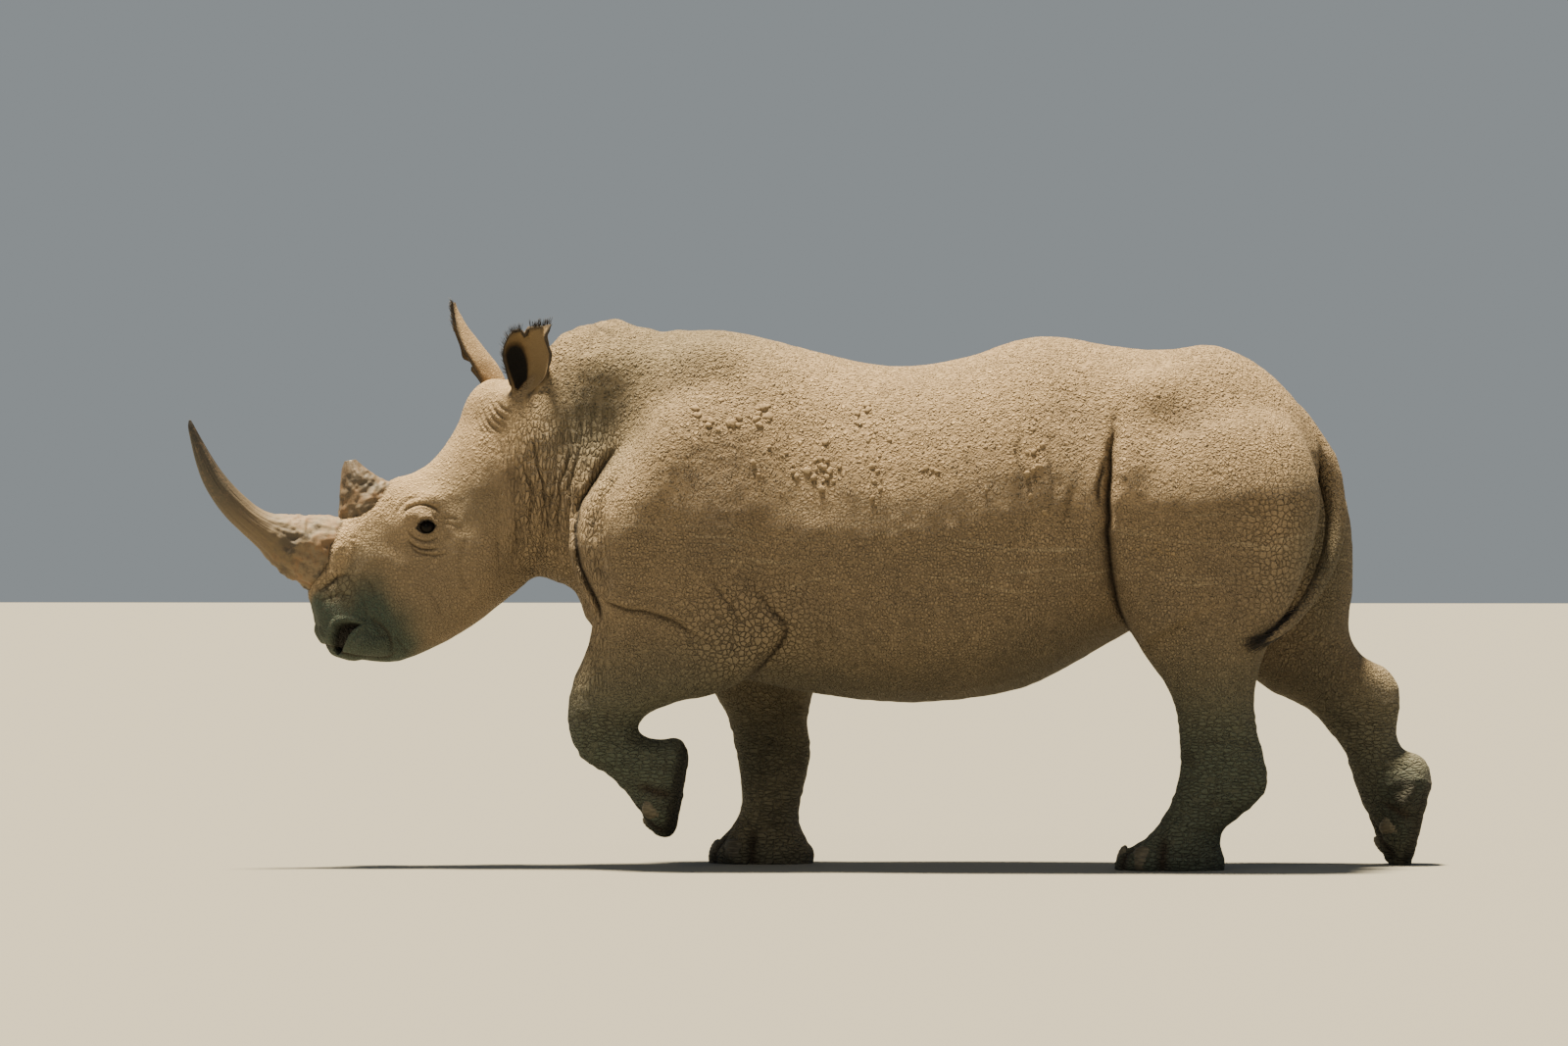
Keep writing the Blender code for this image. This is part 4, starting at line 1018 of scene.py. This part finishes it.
def ramp(tree, value, stops):
    """Colours that follow one another as the value grows."""
    made = add_node(tree, "ShaderNodeValToRGB", None, {"Fac": value})
    present = made.color_ramp.elements
    for k, (spot, code) in enumerate(stops):
        stop = present[k] if k < len(present) else present.new(spot)
        stop.position = spot
        stop.color = colour(code)
    return made


def lay_over(tree, tone, layers):
    """Lay colours over a tone, each by its share or by the name of a number kept on the mesh."""
    for share, code in layers:
        share = number(tree, share) if isinstance(share, str) else share
        tone = add_node(tree, "ShaderNodeMix", {"data_type": "RGBA"},
                        {0: share, 6: tone, 7: colour(code)}).outputs[2]
    return tone


def raise_relief(tree, height, distance, strength=0.8, under=None):
    """Bump of some height in metres, on top of the relief that lies under it."""
    inputs = {"Strength": strength, "Distance": distance, "Height": height}
    if under is not None:
        inputs["Normal"] = under
    return add_node(tree, "ShaderNodeBump", None, inputs)


def scales(tree, place, size, stretch, crack, slant=0.0):
    """Skin cracked into scales about size metres across, drawn out along x, y and z by stretch
    and leaning by slant seen from the side: 0 in a crack, 1 on a scale."""
    spot = add_node(tree, "ShaderNodeMapping", {"vector_type": "TEXTURE"},
                    {"Vector": place, "Rotation": (0, slant, 0), "Scale": stretch})
    cells = add_node(tree, "ShaderNodeTexVoronoi", {"feature": "DISTANCE_TO_EDGE"},
                     {"Vector": spot.outputs["Vector"], "Scale": 1 / size, "Randomness": 0.85})
    return add_node(tree, "ShaderNodeMapRange", {"interpolation_type": "SMOOTHSTEP"},
                    {"Value": cells.outputs["Distance"], "From Max": crack}).outputs["Result"]


# Dry, matt hide: pale dust on the scales, with painted light where they face up, and dirt and painted
# shade in the cracks make it look old and thick
material, tree, shader = new_material("dusty_rhinoceros_hide")
space = add_node(tree, "ShaderNodeTexCoord").outputs["Object"]
bent = displace(tree, space, noise(tree, space, 14.0, 2.0), (0.022, 0.022, 0.022))
plain = scales(tree, bent, 0.0098, (1, 1, 1.3), 0.28)
leaning = scales(tree, bent, 0.0118, (1, 1, 2.6), 0.27, slant=0.70)
crossing = scales(tree, bent, 0.0128, (1, 1, 2.6), 0.27, slant=-0.85)
upright_lines = scales(tree, bent, 0.012, (1, 1, 3.3), 0.22)
level_lines = scales(tree, bent, 0.013, (2, 2, 0.85), 0.20)
coarse = scales(tree, bent, 0.018, (1, 1, 1), 0.13)
pebble = scales(tree, bent, 0.0045, (1, 1, 1), 0.40)
woven = calculate(tree, "MULTIPLY", leaning, crossing)
pattern = plain
for share, lines in (("hatched", woven), ("upright", upright_lines), ("level", level_lines),
                     ("scaly", coarse)):
    pattern = add_node(tree, "ShaderNodeMix", None,
                       {0: number(tree, share), 2: pattern, 3: lines})
cracks = calculate(tree, "SUBTRACT", 1.0, pattern)

patches = noise(tree, space, 3.2, 5.0, 0.6)
tone = ramp(tree, patches, ((0.30, "#826f5a"), (0.52, "#9b8467"), (0.72, "#b09677")))
specks = noise(tree, space, 55.0, 3.0, 0.7)
swayed = displace(tree, space, noise(tree, space, 1.7, 1.0), (0.0, 0.0, 0.30))
long_way = add_node(tree, "ShaderNodeMapping", None, {"Vector": swayed, "Scale": (3.4, 3.4, 105)})
strokes = spread(tree, noise(tree, long_way, 1.0, 2.0), 0.60, 0.74, 0.34)
# How dark the cracks are: dirt and painted shade, stronger high on the body and most on the coarse scales
crack_depth = calculate(tree, "MULTIPLY_ADD", number(tree, "hatched"), 0.14, 0.26)
crack_depth = calculate(tree, "MULTIPLY_ADD", number(tree, "scaly"), 0.40, crack_depth)
tone = lay_over(tree, tone, (
    # Darker and browner towards the bottom of the body: painted shade
    (calculate(tree, "MULTIPLY", number(tree, "soil"), 0.62), "#746857"),
    # Pale dust, paler on faces that look up: partly painted light
    (calculate(tree, "MULTIPLY", number(tree, "dust"), 0.45), "#bfa47c"),
    (spread(tree, specks, 0.52, 0.70, 0.35), "#85735b"),
    # Dark green-grey: the muzzle and lower legs, partly painted shade, and painted shade on some places
    # of the body
    ("dark", "#404d45"),
    (spread(tree, number(tree, "collar"), 0.15, 0.60, 0.8), "#a28b6c"),
    (calculate(tree, "MULTIPLY", strokes, number(tree, "scratched")), "#c0b093"),
    # Dirt and painted shade in the cracks between the scales
    (calculate(tree, "MULTIPLY", cracks, crack_depth), "#463c30"),
    # Dirt and painted shade in the creases
    ("cleft", "#332b23"),
    ("ear_inside", "#7a674c"),
    # Painted shadow deep in the cup of each ear, brown at its edge and nearly black in the middle
    ("ear_depth", "#5a4224"),
    (spread(tree, number(tree, "ear_depth"), 0.40, 0.80), "#0c0907"),
    ("ear_rim", "#3c342c"),
    ("lid", "#3a332d"),
    # Near black in the nostrils: their dark lining and painted shade in the hole
    ("nostril", "#171310"),
    ("sole", "#32312a")))
wet = calculate(tree, "MAXIMUM", number(tree, "lid"), number(tree, "nostril"))
stiff = spread(tree, number(tree, "supple"), 0, 1, 0.15, 1.0)
grains = calculate(tree, "MULTIPLY_ADD", specks, 0.6, pebble)
relief = raise_relief(tree, grains, 0.0012)
relief = raise_relief(tree, noise(tree, space, 32.0, 4.0, 0.62), 0.010, stiff, relief)
crack_height = spread(tree, number(tree, "hatched"), 0, 1, 0.0125, 0.0072)
relief = raise_relief(tree, pattern, crack_height, stiff, relief)
plug(tree, shader, {"Base Color": tone, "Roughness": spread(tree, wet, 0, 1, 0.42, 0.88),
                    "Specular IOR Level": 0.35, "Normal": relief})
hide.data.materials.clear()
hide.data.materials.append(material)
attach(hide, "root")
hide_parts("head", "neck", "trunk", "tail", "foreleg_left", "foreleg_right",
            "hind_leg_left", "hind_leg_right", "forefoot_left", "forefoot_right",
            "hindfoot_left", "hindfoot_right", "ear_left", "ear_right")

# ---------------------------------------------------------------- horns
# Each horn is a solid mass of keratin fibres that grows from a wide root on the nose. The root is
# rough and stained with mud; the front horn is rubbed smooth and dark towards its tip.

# Sections in the plane of the straight head, as for the masses of the hide
HORN_FRONT = (
    (-1.545, 0.89, -1.45, 1.08, 0, 0.104), (-1.58, 0.868, -1.488, 1.1, 0, 0.1),
    (-1.645, 0.906, -1.58, 1.108, 0, 0.086), (-1.697, 0.942, -1.647, 1.109, 0, 0.07),
    (-1.752, 1.004, -1.709, 1.114, 0, 0.052), (-1.802, 1.052, -1.753, 1.134, 0, 0.042),
    (-1.849, 1.098, -1.785, 1.16, 0, 0.037), (-1.889, 1.148, -1.825, 1.198, 0, 0.033),
    (-1.924, 1.208, -1.866, 1.246, 0, 0.028), (-1.946, 1.268, -1.897, 1.292, 0, 0.023),
    (-1.962, 1.332, -1.929, 1.346, 0, 0.016), (-1.972, 1.382, -1.952, 1.388, 0, 0.01),
    (-1.97, 1.407, -1.964, 1.408, 0, 0.003),
)
HORN_REAR = (
    (-1.478, 1.05, -1.305, 1.178, 0, 0.078), (-1.495, 1.092, -1.322, 1.207, 0, 0.076),
    (-1.493, 1.145, -1.362, 1.222, 0, 0.062), (-1.49, 1.205, -1.398, 1.248, 0, 0.046),
    (-1.487, 1.25, -1.424, 1.268, 0, 0.032), (-1.478, 1.278, -1.442, 1.284, 0, 0.019),
)


def build_horn(name, sections, sides, per_span, root_length, knobs):
    """A horn with fibres along it and a lumpy root."""
    rings = np.array(loft_rings(sections, sides, per_span, 2.0, head=True))
    count = len(rings)
    along = np.repeat(np.linspace(0, 1, count), sides)
    middles = np.repeat(rings.mean(axis=1), sides, axis=0)
    spots = rings.reshape(-1, 3)
    out = spots - middles
    out = out / np.maximum(np.linalg.norm(out, axis=1, keepdims=True), 1e-9)
    turn = np.tile(np.arange(sides) * 2 * math.pi / sides, count)
    fibre_place = np.stack((np.cos(turn) * 0.06, np.sin(turn) * 0.06, along * 0.05), axis=1)
    fibre = value_noise(fibre_place, 0.0075, 31) + 0.5 * value_noise(fibre_place, 0.0035, 32)
    root = smooth((root_length - along) / (0.45 * root_length))
    lumps = value_noise(spots, 0.024, 33) * 0.0070 + value_noise(spots, 0.010, 34) * 0.0040
    lumps += value_noise(spots, 0.014, 35) * 0.0018 * smooth((0.30 * root_length - along) / 0.04)
    taper = np.minimum(1, (1 - along) * 12 + 0.15)
    rough = fibre * 0.0011 * (1 - 0.55 * along) + lumps * root * knobs
    spots = spots + out * (rough * taper)[:, None]
    shape = bmesh.new()
    add_rings(shape, spots.reshape(rings.shape))
    horn = new_object(name, shape)
    keep_numbers(horn.data, along=along, fibre=fibre * 0.5 + 0.5, root=root)
    horn.data.shade_smooth()
    return horn


front_horn = build_horn("front_horn_fibres", HORN_FRONT, 112, 12, 0.36, 1.0)
rear_horn = build_horn("rear_horn_fibres", HORN_REAR, 96, 16, 0.9, 0.65)

# Horn keratin: dull and stained where the fibres are rough, darker and smoother towards the tip
for horn, node_name, stops in (
        (front_horn, "horn_front", ((0.13, "#746550"), (0.24, "#64553f"), (0.38, "#62533e"),
                                    (0.62, "#433c31"), (0.95, "#242220"))),
        (rear_horn, "horn_rear", ((0.10, "#685844"), (0.45, "#5d4f3d"), (0.70, "#56493a"),
                                  (1.0, "#4d4337")))):
    material, tree, shader = new_material(node_name + "_stained_keratin")
    space = add_node(tree, "ShaderNodeTexCoord").outputs["Object"]
    stains = noise(tree, space, 14.0, 5.0, 0.65)
    pits = noise(tree, space, 62.0, 4.0, 0.7)
    root, along, fibre = (number(tree, name) for name in ("root", "along", "fibre"))
    rust = calculate(tree, "MULTIPLY", spread(tree, stains, 0.48, 0.57), root)
    soot = calculate(tree, "MULTIPLY", spread(tree, stains, 0.46, 0.38), root)
    tone = lay_over(tree, ramp(tree, along, stops), (
        (rust, "#755c42"), (soot, "#453d33"), (spread(tree, pits, 0.48, 0.38, 0.80), "#5b4c3c"),
        (spread(tree, fibre, 0.55, 0.15, 0.38), "#4a3f34")))
    height = calculate(tree, "MULTIPLY_ADD", fibre, 0.8, pits)
    plug(tree, shader, {"Base Color": tone, "Roughness": spread(tree, along, 0, 1, 0.42, 0.80),
                        "Normal": raise_relief(tree, height, 0.0014)})
    horn.data.materials.append(material)
    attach(horn, "root")
    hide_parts(node_name)

# ---------------------------------------------------------------- eyes
# Small dark eyes, wet and glossy, each set deep between thick lids.


def add_ball(shape, around, upwards, radius):
    """A ball whose faces come in the same order each run."""
    bmesh.ops.create_uvsphere(shape, u_segments=around, v_segments=upwards, radius=radius)
    uneven_axis = Vector((1, 31.7, 1009.3))     # no two faces lie equally far along it
    shape.faces.sort(key=lambda face: face.calc_center_median().dot(uneven_axis))


def build_eye(side):
    """An eyeball with a slightly raised clear front, turned outwards and a little ahead."""
    middle = eye_middle[side]
    gaze = unit(turned_way((-0.28, EYES[side] * 0.95, 0.06)))
    shape = bmesh.new()
    add_ball(shape, 56, 40, EYE_RADIUS)
    off_axis = []
    facing_axis = Vector(gaze).to_track_quat("Z", "Y").to_matrix()
    for vert in shape.verts:
        angle = vert.co.angle(Vector((0, 0, 1)))
        off_axis.append(angle)
        vert.co = vert.co * (1 + 0.05 * max(0.0, 1 - (angle / 0.55) ** 2))
        vert.co = facing_axis @ vert.co + middle
    eye = new_object("eyeball_" + side, shape)
    keep_numbers(eye.data, off_axis=np.array(off_axis))
    eye.data.shade_smooth()
    return eye


# Wet eye: a black pupil in a very dark brown iris under a clear glossy coat
material, tree, shader = new_material("wet_dark_eye")
tone = ramp(tree, calculate(tree, "DIVIDE", number(tree, "off_axis"), 1.6),
            ((0.18, "#010101"), (0.22, "#0b0704"), (0.38, "#110a06"), (0.46, "#050403"),
             (0.62, "#0e0b09")))
plug(tree, shader, {"Base Color": tone, "Roughness": 0.5, "Specular IOR Level": 0.05,
                    "Coat Weight": 0.14, "Coat Roughness": 0.03})
for side in EYES:
    eye = build_eye(side)
    eye.data.materials.append(material)
    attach(eye, "root")
    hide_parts("eye_" + side)

# ---------------------------------------------------------------- toenails
# Three broad nails of horn round the front of each foot, worn and dusty, set in the skin.
NAIL_HEIGHT = 0.042         # of a nail's middle over the sole, and nearly half its length
NAIL_BULGE = 0.012          # how far its face stands out from the plane of its rim
NAIL_DEPTH = 0.0080         # how deep that plane is set in the skin
NAIL_SPREAD = 54            # degrees from the middle nail to the others
NAIL_WIDTHS = (("outer", -1, 0.078), ("middle", 0, 0.098), ("inner", 1, 0.078))
hide_tree = surface_tree(hide)


def build_nail(foot, place, turn, width):
    """One nail: a curved plate, thick in the middle, with growth rings across it."""
    middle, forward, up = (Vector(v) for v in FEET[foot])
    across = up.cross(forward)
    outwards = -1 if across.y * middle.y > 0 else 1
    angle = math.radians(NAIL_SPREAD) * turn
    direction = forward * math.cos(angle) + across * (math.sin(angle) * outwards)
    spot, normal, _, _ = hide_tree.ray_cast(middle + up * NAIL_HEIGHT, direction)
    flat = (normal - up * (0.55 * normal.dot(up))).normalized()
    sideways = up.cross(flat).normalized()
    rise = flat.cross(sideways)
    shape = bmesh.new()
    add_ball(shape, 40, 24, 1.0)
    for vert in shape.verts:
        x, y, z = vert.co
        wide = math.copysign(abs(x) ** 0.72, x)
        tall = math.copysign(abs(y) ** 0.80, y)
        ring = 0.0011 * math.sin(tall * 19) * max(z, 0)
        curve = 0.013 * wide * wide + 0.004 * tall * tall
        vert.co = (spot + sideways * (wide * width / 2) + rise * (tall * NAIL_HEIGHT * 0.93)
                   + flat * (z * NAIL_BULGE + ring - curve - NAIL_DEPTH))
        below = -0.004 - (vert.co - middle).dot(up)     # how far it would pass a lifted sole
        if foot in ("fore_left", "hind_right") and below > 0:
            vert.co += up * below
        vert.co.z = max(vert.co.z, 0.0)
    nail = new_object("toenail_" + foot + "_" + place, shape)
    nail.data.shade_smooth()
    return nail


# Toenail horn: dull grey-brown with paler worn lines across it
material, tree, shader = new_material("worn_toenail_horn")
space = add_node(tree, "ShaderNodeTexCoord").outputs["Object"]
rings = add_node(tree, "ShaderNodeMapping", None, {"Vector": space, "Scale": (40, 40, 260)})
grain = noise(tree, rings, 1.0, 4.0)
tone = ramp(tree, grain, ((0.30, "#3a352c"), (0.55, "#565042"), (0.75, "#726a58")))
plug(tree, shader, {"Base Color": tone, "Roughness": 0.66,
                    "Normal": raise_relief(tree, grain, 0.001, 0.6)})
for foot in FEET:
    for place, turn, width in NAIL_WIDTHS:
        nail = build_nail(foot, place, turn, width)
        nail.data.materials.append(material)
        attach(nail, "root")
        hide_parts("nail_" + foot + "_" + place)

# ---------------------------------------------------------------- dried mud
# Lumps of mud from the last wallow, 5 to 25 mm across, still stick to the back and the flanks.

# Middle x and z of each patch, its spread along and up, how many lumps, largest radius
MUD_LEFT = (
    (-0.192, 1.405, 0.075, 0.024, 34, 0.0128), (-0.06, 1.3, 0.07, 0.05, 14, 0.0098),
    (0.065, 1.252, 0.024, 0.032, 28, 0.0128), (0.205, 1.4, 0.036, 0.04, 16, 0.0128),
    (0.232, 1.262, 0.014, 0.065, 26, 0.0122), (0.41, 1.246, 0.018, 0.012, 8, 0.0112),
    (0.735, 1.3, 0.013, 0.06, 36, 0.0092), (1.09, 1, 0.045, 0.015, 22, 0.0065),
    (0.2, 1.33, 0.42, 0.11, 50, 0.0055), (1.12, 1.48, 0.1, 0.05, 6, 0.007),
)
MUD_RIGHT = (
    (-0.12, 1.38, 0.09, 0.04, 24, 0.011), (0.33, 1.3, 0.06, 0.08, 26, 0.012),
    (0.64, 1.35, 0.05, 0.05, 14, 0.01), (0.25, 1.3, 0.45, 0.12, 40, 0.005),
)


def scatter_group():
    """A group that sets copies of a small shape on points, each in its own way and size."""
    group = bpy.data.node_groups.new("set_on_points", "GeometryNodeTree")
    group.interface.new_socket("Geometry", in_out="OUTPUT", socket_type="NodeSocketGeometry")
    for socket, kind in (("Points", "Geometry"), ("Shape", "Object"), ("Finish", "Material"),
                         ("Seed", "Int")):
        group.interface.new_socket(socket, in_out="INPUT", socket_type="NodeSocket" + kind)
    given = group.nodes.new("NodeGroupInput").outputs
    shape = add_node(group, "GeometryNodeObjectInfo", None, {"Object": given["Shape"]})
    way, size = (add_node(group, "GeometryNodeInputNamedAttribute",
                          {"data_type": "FLOAT_VECTOR"}, {"Name": name}).outputs["Attribute"]
                 for name in ("way", "size"))
    aim = add_node(group, "FunctionNodeAlignRotationToVector", {"axis": "Z"}, {"Vector": way})
    spin = add_node(group, "FunctionNodeRandomValue", {"data_type": "FLOAT_VECTOR"},
                    {0: (0, 0, 0), 1: (0, 0, 2 * math.pi), "Seed": given["Seed"]})
    turn = add_node(group, "FunctionNodeRotateRotation", {"rotation_space": "LOCAL"},
                    {"Rotation": aim, "Rotate By": spin})
    copies = add_node(group, "GeometryNodeInstanceOnPoints", None,
                      {"Points": given["Points"], "Instance": shape.outputs["Geometry"],
                       "Rotation": turn, "Scale": size})
    real = add_node(group, "GeometryNodeRealizeInstances", None, {"Geometry": copies})
    finish = add_node(group, "GeometryNodeSetMaterial", None,
                      {"Geometry": real, "Material": given["Finish"]})
    plug(group, group.nodes.new("NodeGroupOutput"), {"Geometry": finish})
    return group


set_on_points = scatter_group()


def scatter(name, roots, ways, sizes, copied, material, seed):
    """One plain mesh of copies of a shape on the roots."""
    mesh = bpy.data.meshes.new(name)
    mesh.from_pydata([tuple(root) for root in roots], [], [])
    for key, rows in (("way", ways), ("size", sizes)):
        layer = mesh.attributes.new(key, "FLOAT_VECTOR", "POINT")
        layer.data.foreach_set("vector", np.asarray(rows, dtype=np.float32).ravel())
    item = add_object(name, mesh)
    modifier = item.modifiers.new("set_on_points", "NODES")
    modifier.node_group = set_on_points
    values = {"Shape": copied, "Finish": material, "Seed": seed}
    for socket in set_on_points.interface.items_tree:
        if socket.in_out == "INPUT" and socket.name in values:
            modifier[socket.identifier] = values[socket.name]
    apply_modifiers(item)
    item.data.shade_smooth()
    bpy.data.objects.remove(copied, do_unlink=True)
    return item


def mud_lump():
    """A rounded, uneven lump one unit across its radius, flat underneath."""
    shape = bmesh.new()
    bmesh.ops.create_icosphere(shape, subdivisions=2, radius=1.0)
    spots = np.array([vert.co for vert in shape.verts])
    uneven = value_noise(spots + 7, 0.9, 41) * 0.30 + value_noise(spots, 0.45, 42) * 0.16
    for vert, bit in zip(shape.verts, uneven):
        vert.co *= 1 + bit
        vert.co.z = max(vert.co.z, -0.45)
    return new_object("mud_lump", shape)


picker = np.random.RandomState(5)
roots, ways, sizes = [], [], []
for sign, rows in ((-1, MUD_LEFT), (1, MUD_RIGHT)):
    for x, z, spread_x, spread_z, count, largest in rows:
        for _ in range(count):
            start = Vector((x + picker.normal() * spread_x, sign * 1.0,
                            z + picker.normal() * spread_z))
            place, normal, _, _ = hide_tree.ray_cast(start, Vector((0, -sign, 0)))
            radius = largest * picker.uniform(0.25, 1.0) ** 1.6
            if place is None:
                continue
            roots.append(place)
            ways.append(normal)
            sizes.append((radius * picker.uniform(0.8, 1.3), radius * picker.uniform(0.8, 1.2),
                          radius * picker.uniform(0.40, 0.70)))

# Dried mud: dull and crumbly, the same dust as on the hide, a little darker and browner
material, tree, shader = new_material("dried_mud")
space = add_node(tree, "ShaderNodeTexCoord").outputs["Object"]
crumbs = noise(tree, space, 130.0, 4.0, 0.7)
tone = ramp(tree, crumbs, ((0.32, "#66563f"), (0.52, "#826f55"), (0.72, "#9a866a")))
plug(tree, shader, {"Base Color": tone, "Roughness": 0.95,
                    "Normal": raise_relief(tree, crumbs, 0.002, 0.9)})
mud = scatter("dried_mud_lumps", roots, ways, sizes, mud_lump(), material, 3)
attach(mud, "root")

# ---------------------------------------------------------------- hair
# The only hair on the bare hide: a stiff black fringe on the ears, lashes on the upper lids and
# a tassel at the end of the tail. Each bristle is rooted in the hide.


def bristle():
    """A tapered, bent bristle, one unit long and one unit in radius at its root."""
    shape = bmesh.new()
    rings = []
    for along, thick in ((0.0, 1.0), (0.25, 0.95), (0.5, 0.78), (0.75, 0.5), (1.0, 0.08)):
        bend = 3.0 * along * along
        rings.append([(thick * math.cos(turn) + bend, thick * math.sin(turn), along - 0.02)
                      for turn in (0, 2 * math.pi / 3, 4 * math.pi / 3)])
    add_rings(shape, rings)
    return new_object("bristle", shape)


def set_bake_patches(mesh, roots):
    """Give each bristle a small patch at its root's place on an unwrap of the hide, which is
    rolled off round the long axis of the body."""
    patch = 0.003
    loops = len(mesh.loops) // len(roots)
    roots = np.array([tuple(root) for root in roots])
    u = 0.02 + 0.96 * (roots[:, 0] - solid_box[0][0]) / (solid_box[1][0] - solid_box[0][0])
    v = 0.02 + 0.96 * (np.arctan2(roots[:, 1], roots[:, 2] - 1.1) / (2 * math.pi) + 0.5)
    corners = np.tile(((0, 0), (patch, 0), (patch, patch), (0, patch)), (loops // 4 + 1, 1))
    spots = np.stack((u, v), axis=1)[:, None, :] + corners[None, :loops]
    layer = mesh.uv_layers.new(name="OFBake")
    layer.data.foreach_set("uv", spots.astype(np.float32).ravel())


def rim_roots(side, line, count, lift, length, thick):
    """Roots along a rim of an ear, with bristles that stand away from the ear's middle."""
    sheet = ear_sheets[side]
    middle = sheet.reshape(-1, 3).mean(axis=0)
    for _ in range(count):
        spot = picker.uniform(0, len(line) - 1.001)
        k = int(spot)
        root = line[k] + (line[k + 1] - line[k]) * (spot - k) + picker.normal(size=3) * 0.0012
        way = unit(unit(root - middle) + np.array(lift)) + picker.normal(size=3) * 0.16
        roots.append(root - way * 0.002)
        ways.append(way)
        sizes.append((thick, thick, length * picker.uniform(0.45, 1.0)))


LASHES = 46                 # on each upper lid
TASSEL_HAIRS = 260
TASSEL_ROWS = 26            # rows of the tail, from its end, that bear the tassel
roots, ways, sizes = [], [], []
left_sheet, right_sheet = ear_sheets["left"], ear_sheets["right"]
rim_roots("left", left_sheet[-1, 11:], 75, (0, 0, 1.6), 0.034, 0.0009)
rim_roots("left", left_sheet[-1, :6], 22, (-0.1, 0, 1.2), 0.032, 0.0009)
rim_roots("left", left_sheet[-26:, 0], 75, (-0.3, 0, 0.9), 0.030, 0.0008)
rim_roots("left", left_sheet[-14:, -1], 20, (0.1, 0, 0.5), 0.012, 0.0006)
rim_roots("right", right_sheet[-14:, 0], 70, (-0.3, 0, 0.9), 0.022, 0.0007)
rim_roots("right", right_sheet[-12:, -1], 90, (-0.4, -0.1, 1.0), 0.024, 0.0008)
for side, (out, ahead, up) in lid_frames.items():
    for _ in range(LASHES):
        a = picker.uniform(-0.018, 0.024)
        b = 0.0155 * (1 - (abs(a) / 0.031) ** 2.3) + 0.0015
        c = math.sqrt(max((EYE_RADIUS + 0.004) ** 2 - a * a - b * b, 1e-6))
        roots.append(np.array(eye_middle[side]) + ahead * a + up * b + out * c)
        ways.append(out * 0.9 + ahead * a * 22 + up * picker.uniform(-0.05, 0.35)
                    + picker.normal(size=3) * 0.08)
        sizes.append((0.0005, 0.0005, picker.uniform(0.010, 0.017)))
tail_end = spline_rows(TAIL, 8)[-TASSEL_ROWS:]
hang = np.array((-0.90, -0.20, -0.36))
for _ in range(TASSEL_HAIRS):
    spot = tail_end[picker.randint(len(tail_end))]
    off = unit(np.cross(picker.normal(size=3), hang))
    roots.append(spot[:3] + off * spot[3] * 0.9)
    ways.append(hang + off * picker.uniform(0.04, 0.30))
    sizes.append((0.0012, 0.0012, picker.uniform(0.050, 0.100)))

# Coarse black hair, brown where the light has bleached it
material, tree, shader = new_material("coarse_black_hair")
space = add_node(tree, "ShaderNodeTexCoord").outputs["Object"]
bleach = noise(tree, space, 160.0, 2.0)
tone = ramp(tree, bleach, ((0.40, "#14110f"), (0.75, "#3d3128")))
plug(tree, shader, {"Base Color": tone, "Roughness": 0.55})
hair = scatter("ear_fringe_lashes_and_tassel", roots, ways, sizes, bristle(), material, 4)
set_bake_patches(hair.data, roots)
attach(hair, "root")

# ---------------------------------------------------------------- the room
# A plain pale floor under a high soft lamp, with weak light from all round.
CAMERA_TURN = math.radians(4)
CAMERA_AWAY = 27.5
CAMERA_ASIDE = -0.081
CAMERA_HEIGHT = 1.083
FLOOR_REACH = 90
floor_mesh = bpy.data.meshes.new("floor")
floor_mesh.from_pydata([(x * FLOOR_REACH, y * FLOOR_REACH, 0)
                        for x, y in ((-1, -1), (1, -1), (1, 1), (-1, 1))], [], [(0, 1, 2, 3)])
floor = add_object("floor", floor_mesh)
material, tree, shader = new_material("pale_matt_floor")
plug(tree, shader, {"Base Color": colour("#72716c"), "Roughness": 0.9})
floor_mesh.materials.append(material)

# The high lamp lights the back; the weak one beside the camera gives the eye its glint
for name, energy, angle, way in (("high_soft_lamp", 23.5, 8, (0.15, -0.13, -1.0)),
                                 ("weak_side_lamp", 0.5, 10, (0.35, 1.0, -0.60))):
    lamp = bpy.data.lights.new(name, "SUN")
    lamp.energy = energy
    lamp.angle = math.radians(angle)
    lamp.color = (1.0, 0.84, 0.56)
    add_object(name, lamp).rotation_euler = Vector(way).to_track_quat("-Z", "Y").to_euler()
world = bpy.data.worlds.new("room")
world.use_nodes = True
world.node_tree.nodes["Background"].inputs["Color"].default_value = (0.84, 0.92, 0.96, 1)
world.node_tree.nodes["Background"].inputs["Strength"].default_value = 0.31
bpy.context.scene.world = world

camera_data = bpy.data.cameras.new("camera")
camera_data.sensor_width = 36
camera_data.lens = 199.6
camera_data.clip_end = 300
camera = add_object("camera", camera_data)
back = Vector((math.sin(CAMERA_TURN), -math.cos(CAMERA_TURN), 0))
right = Vector((math.cos(CAMERA_TURN), math.sin(CAMERA_TURN), 0))
camera.location = back * CAMERA_AWAY + right * CAMERA_ASIDE + Vector((0, 0, CAMERA_HEIGHT))
camera.rotation_euler = (math.radians(90), 0, CAMERA_TURN)
bpy.context.scene.camera = camera
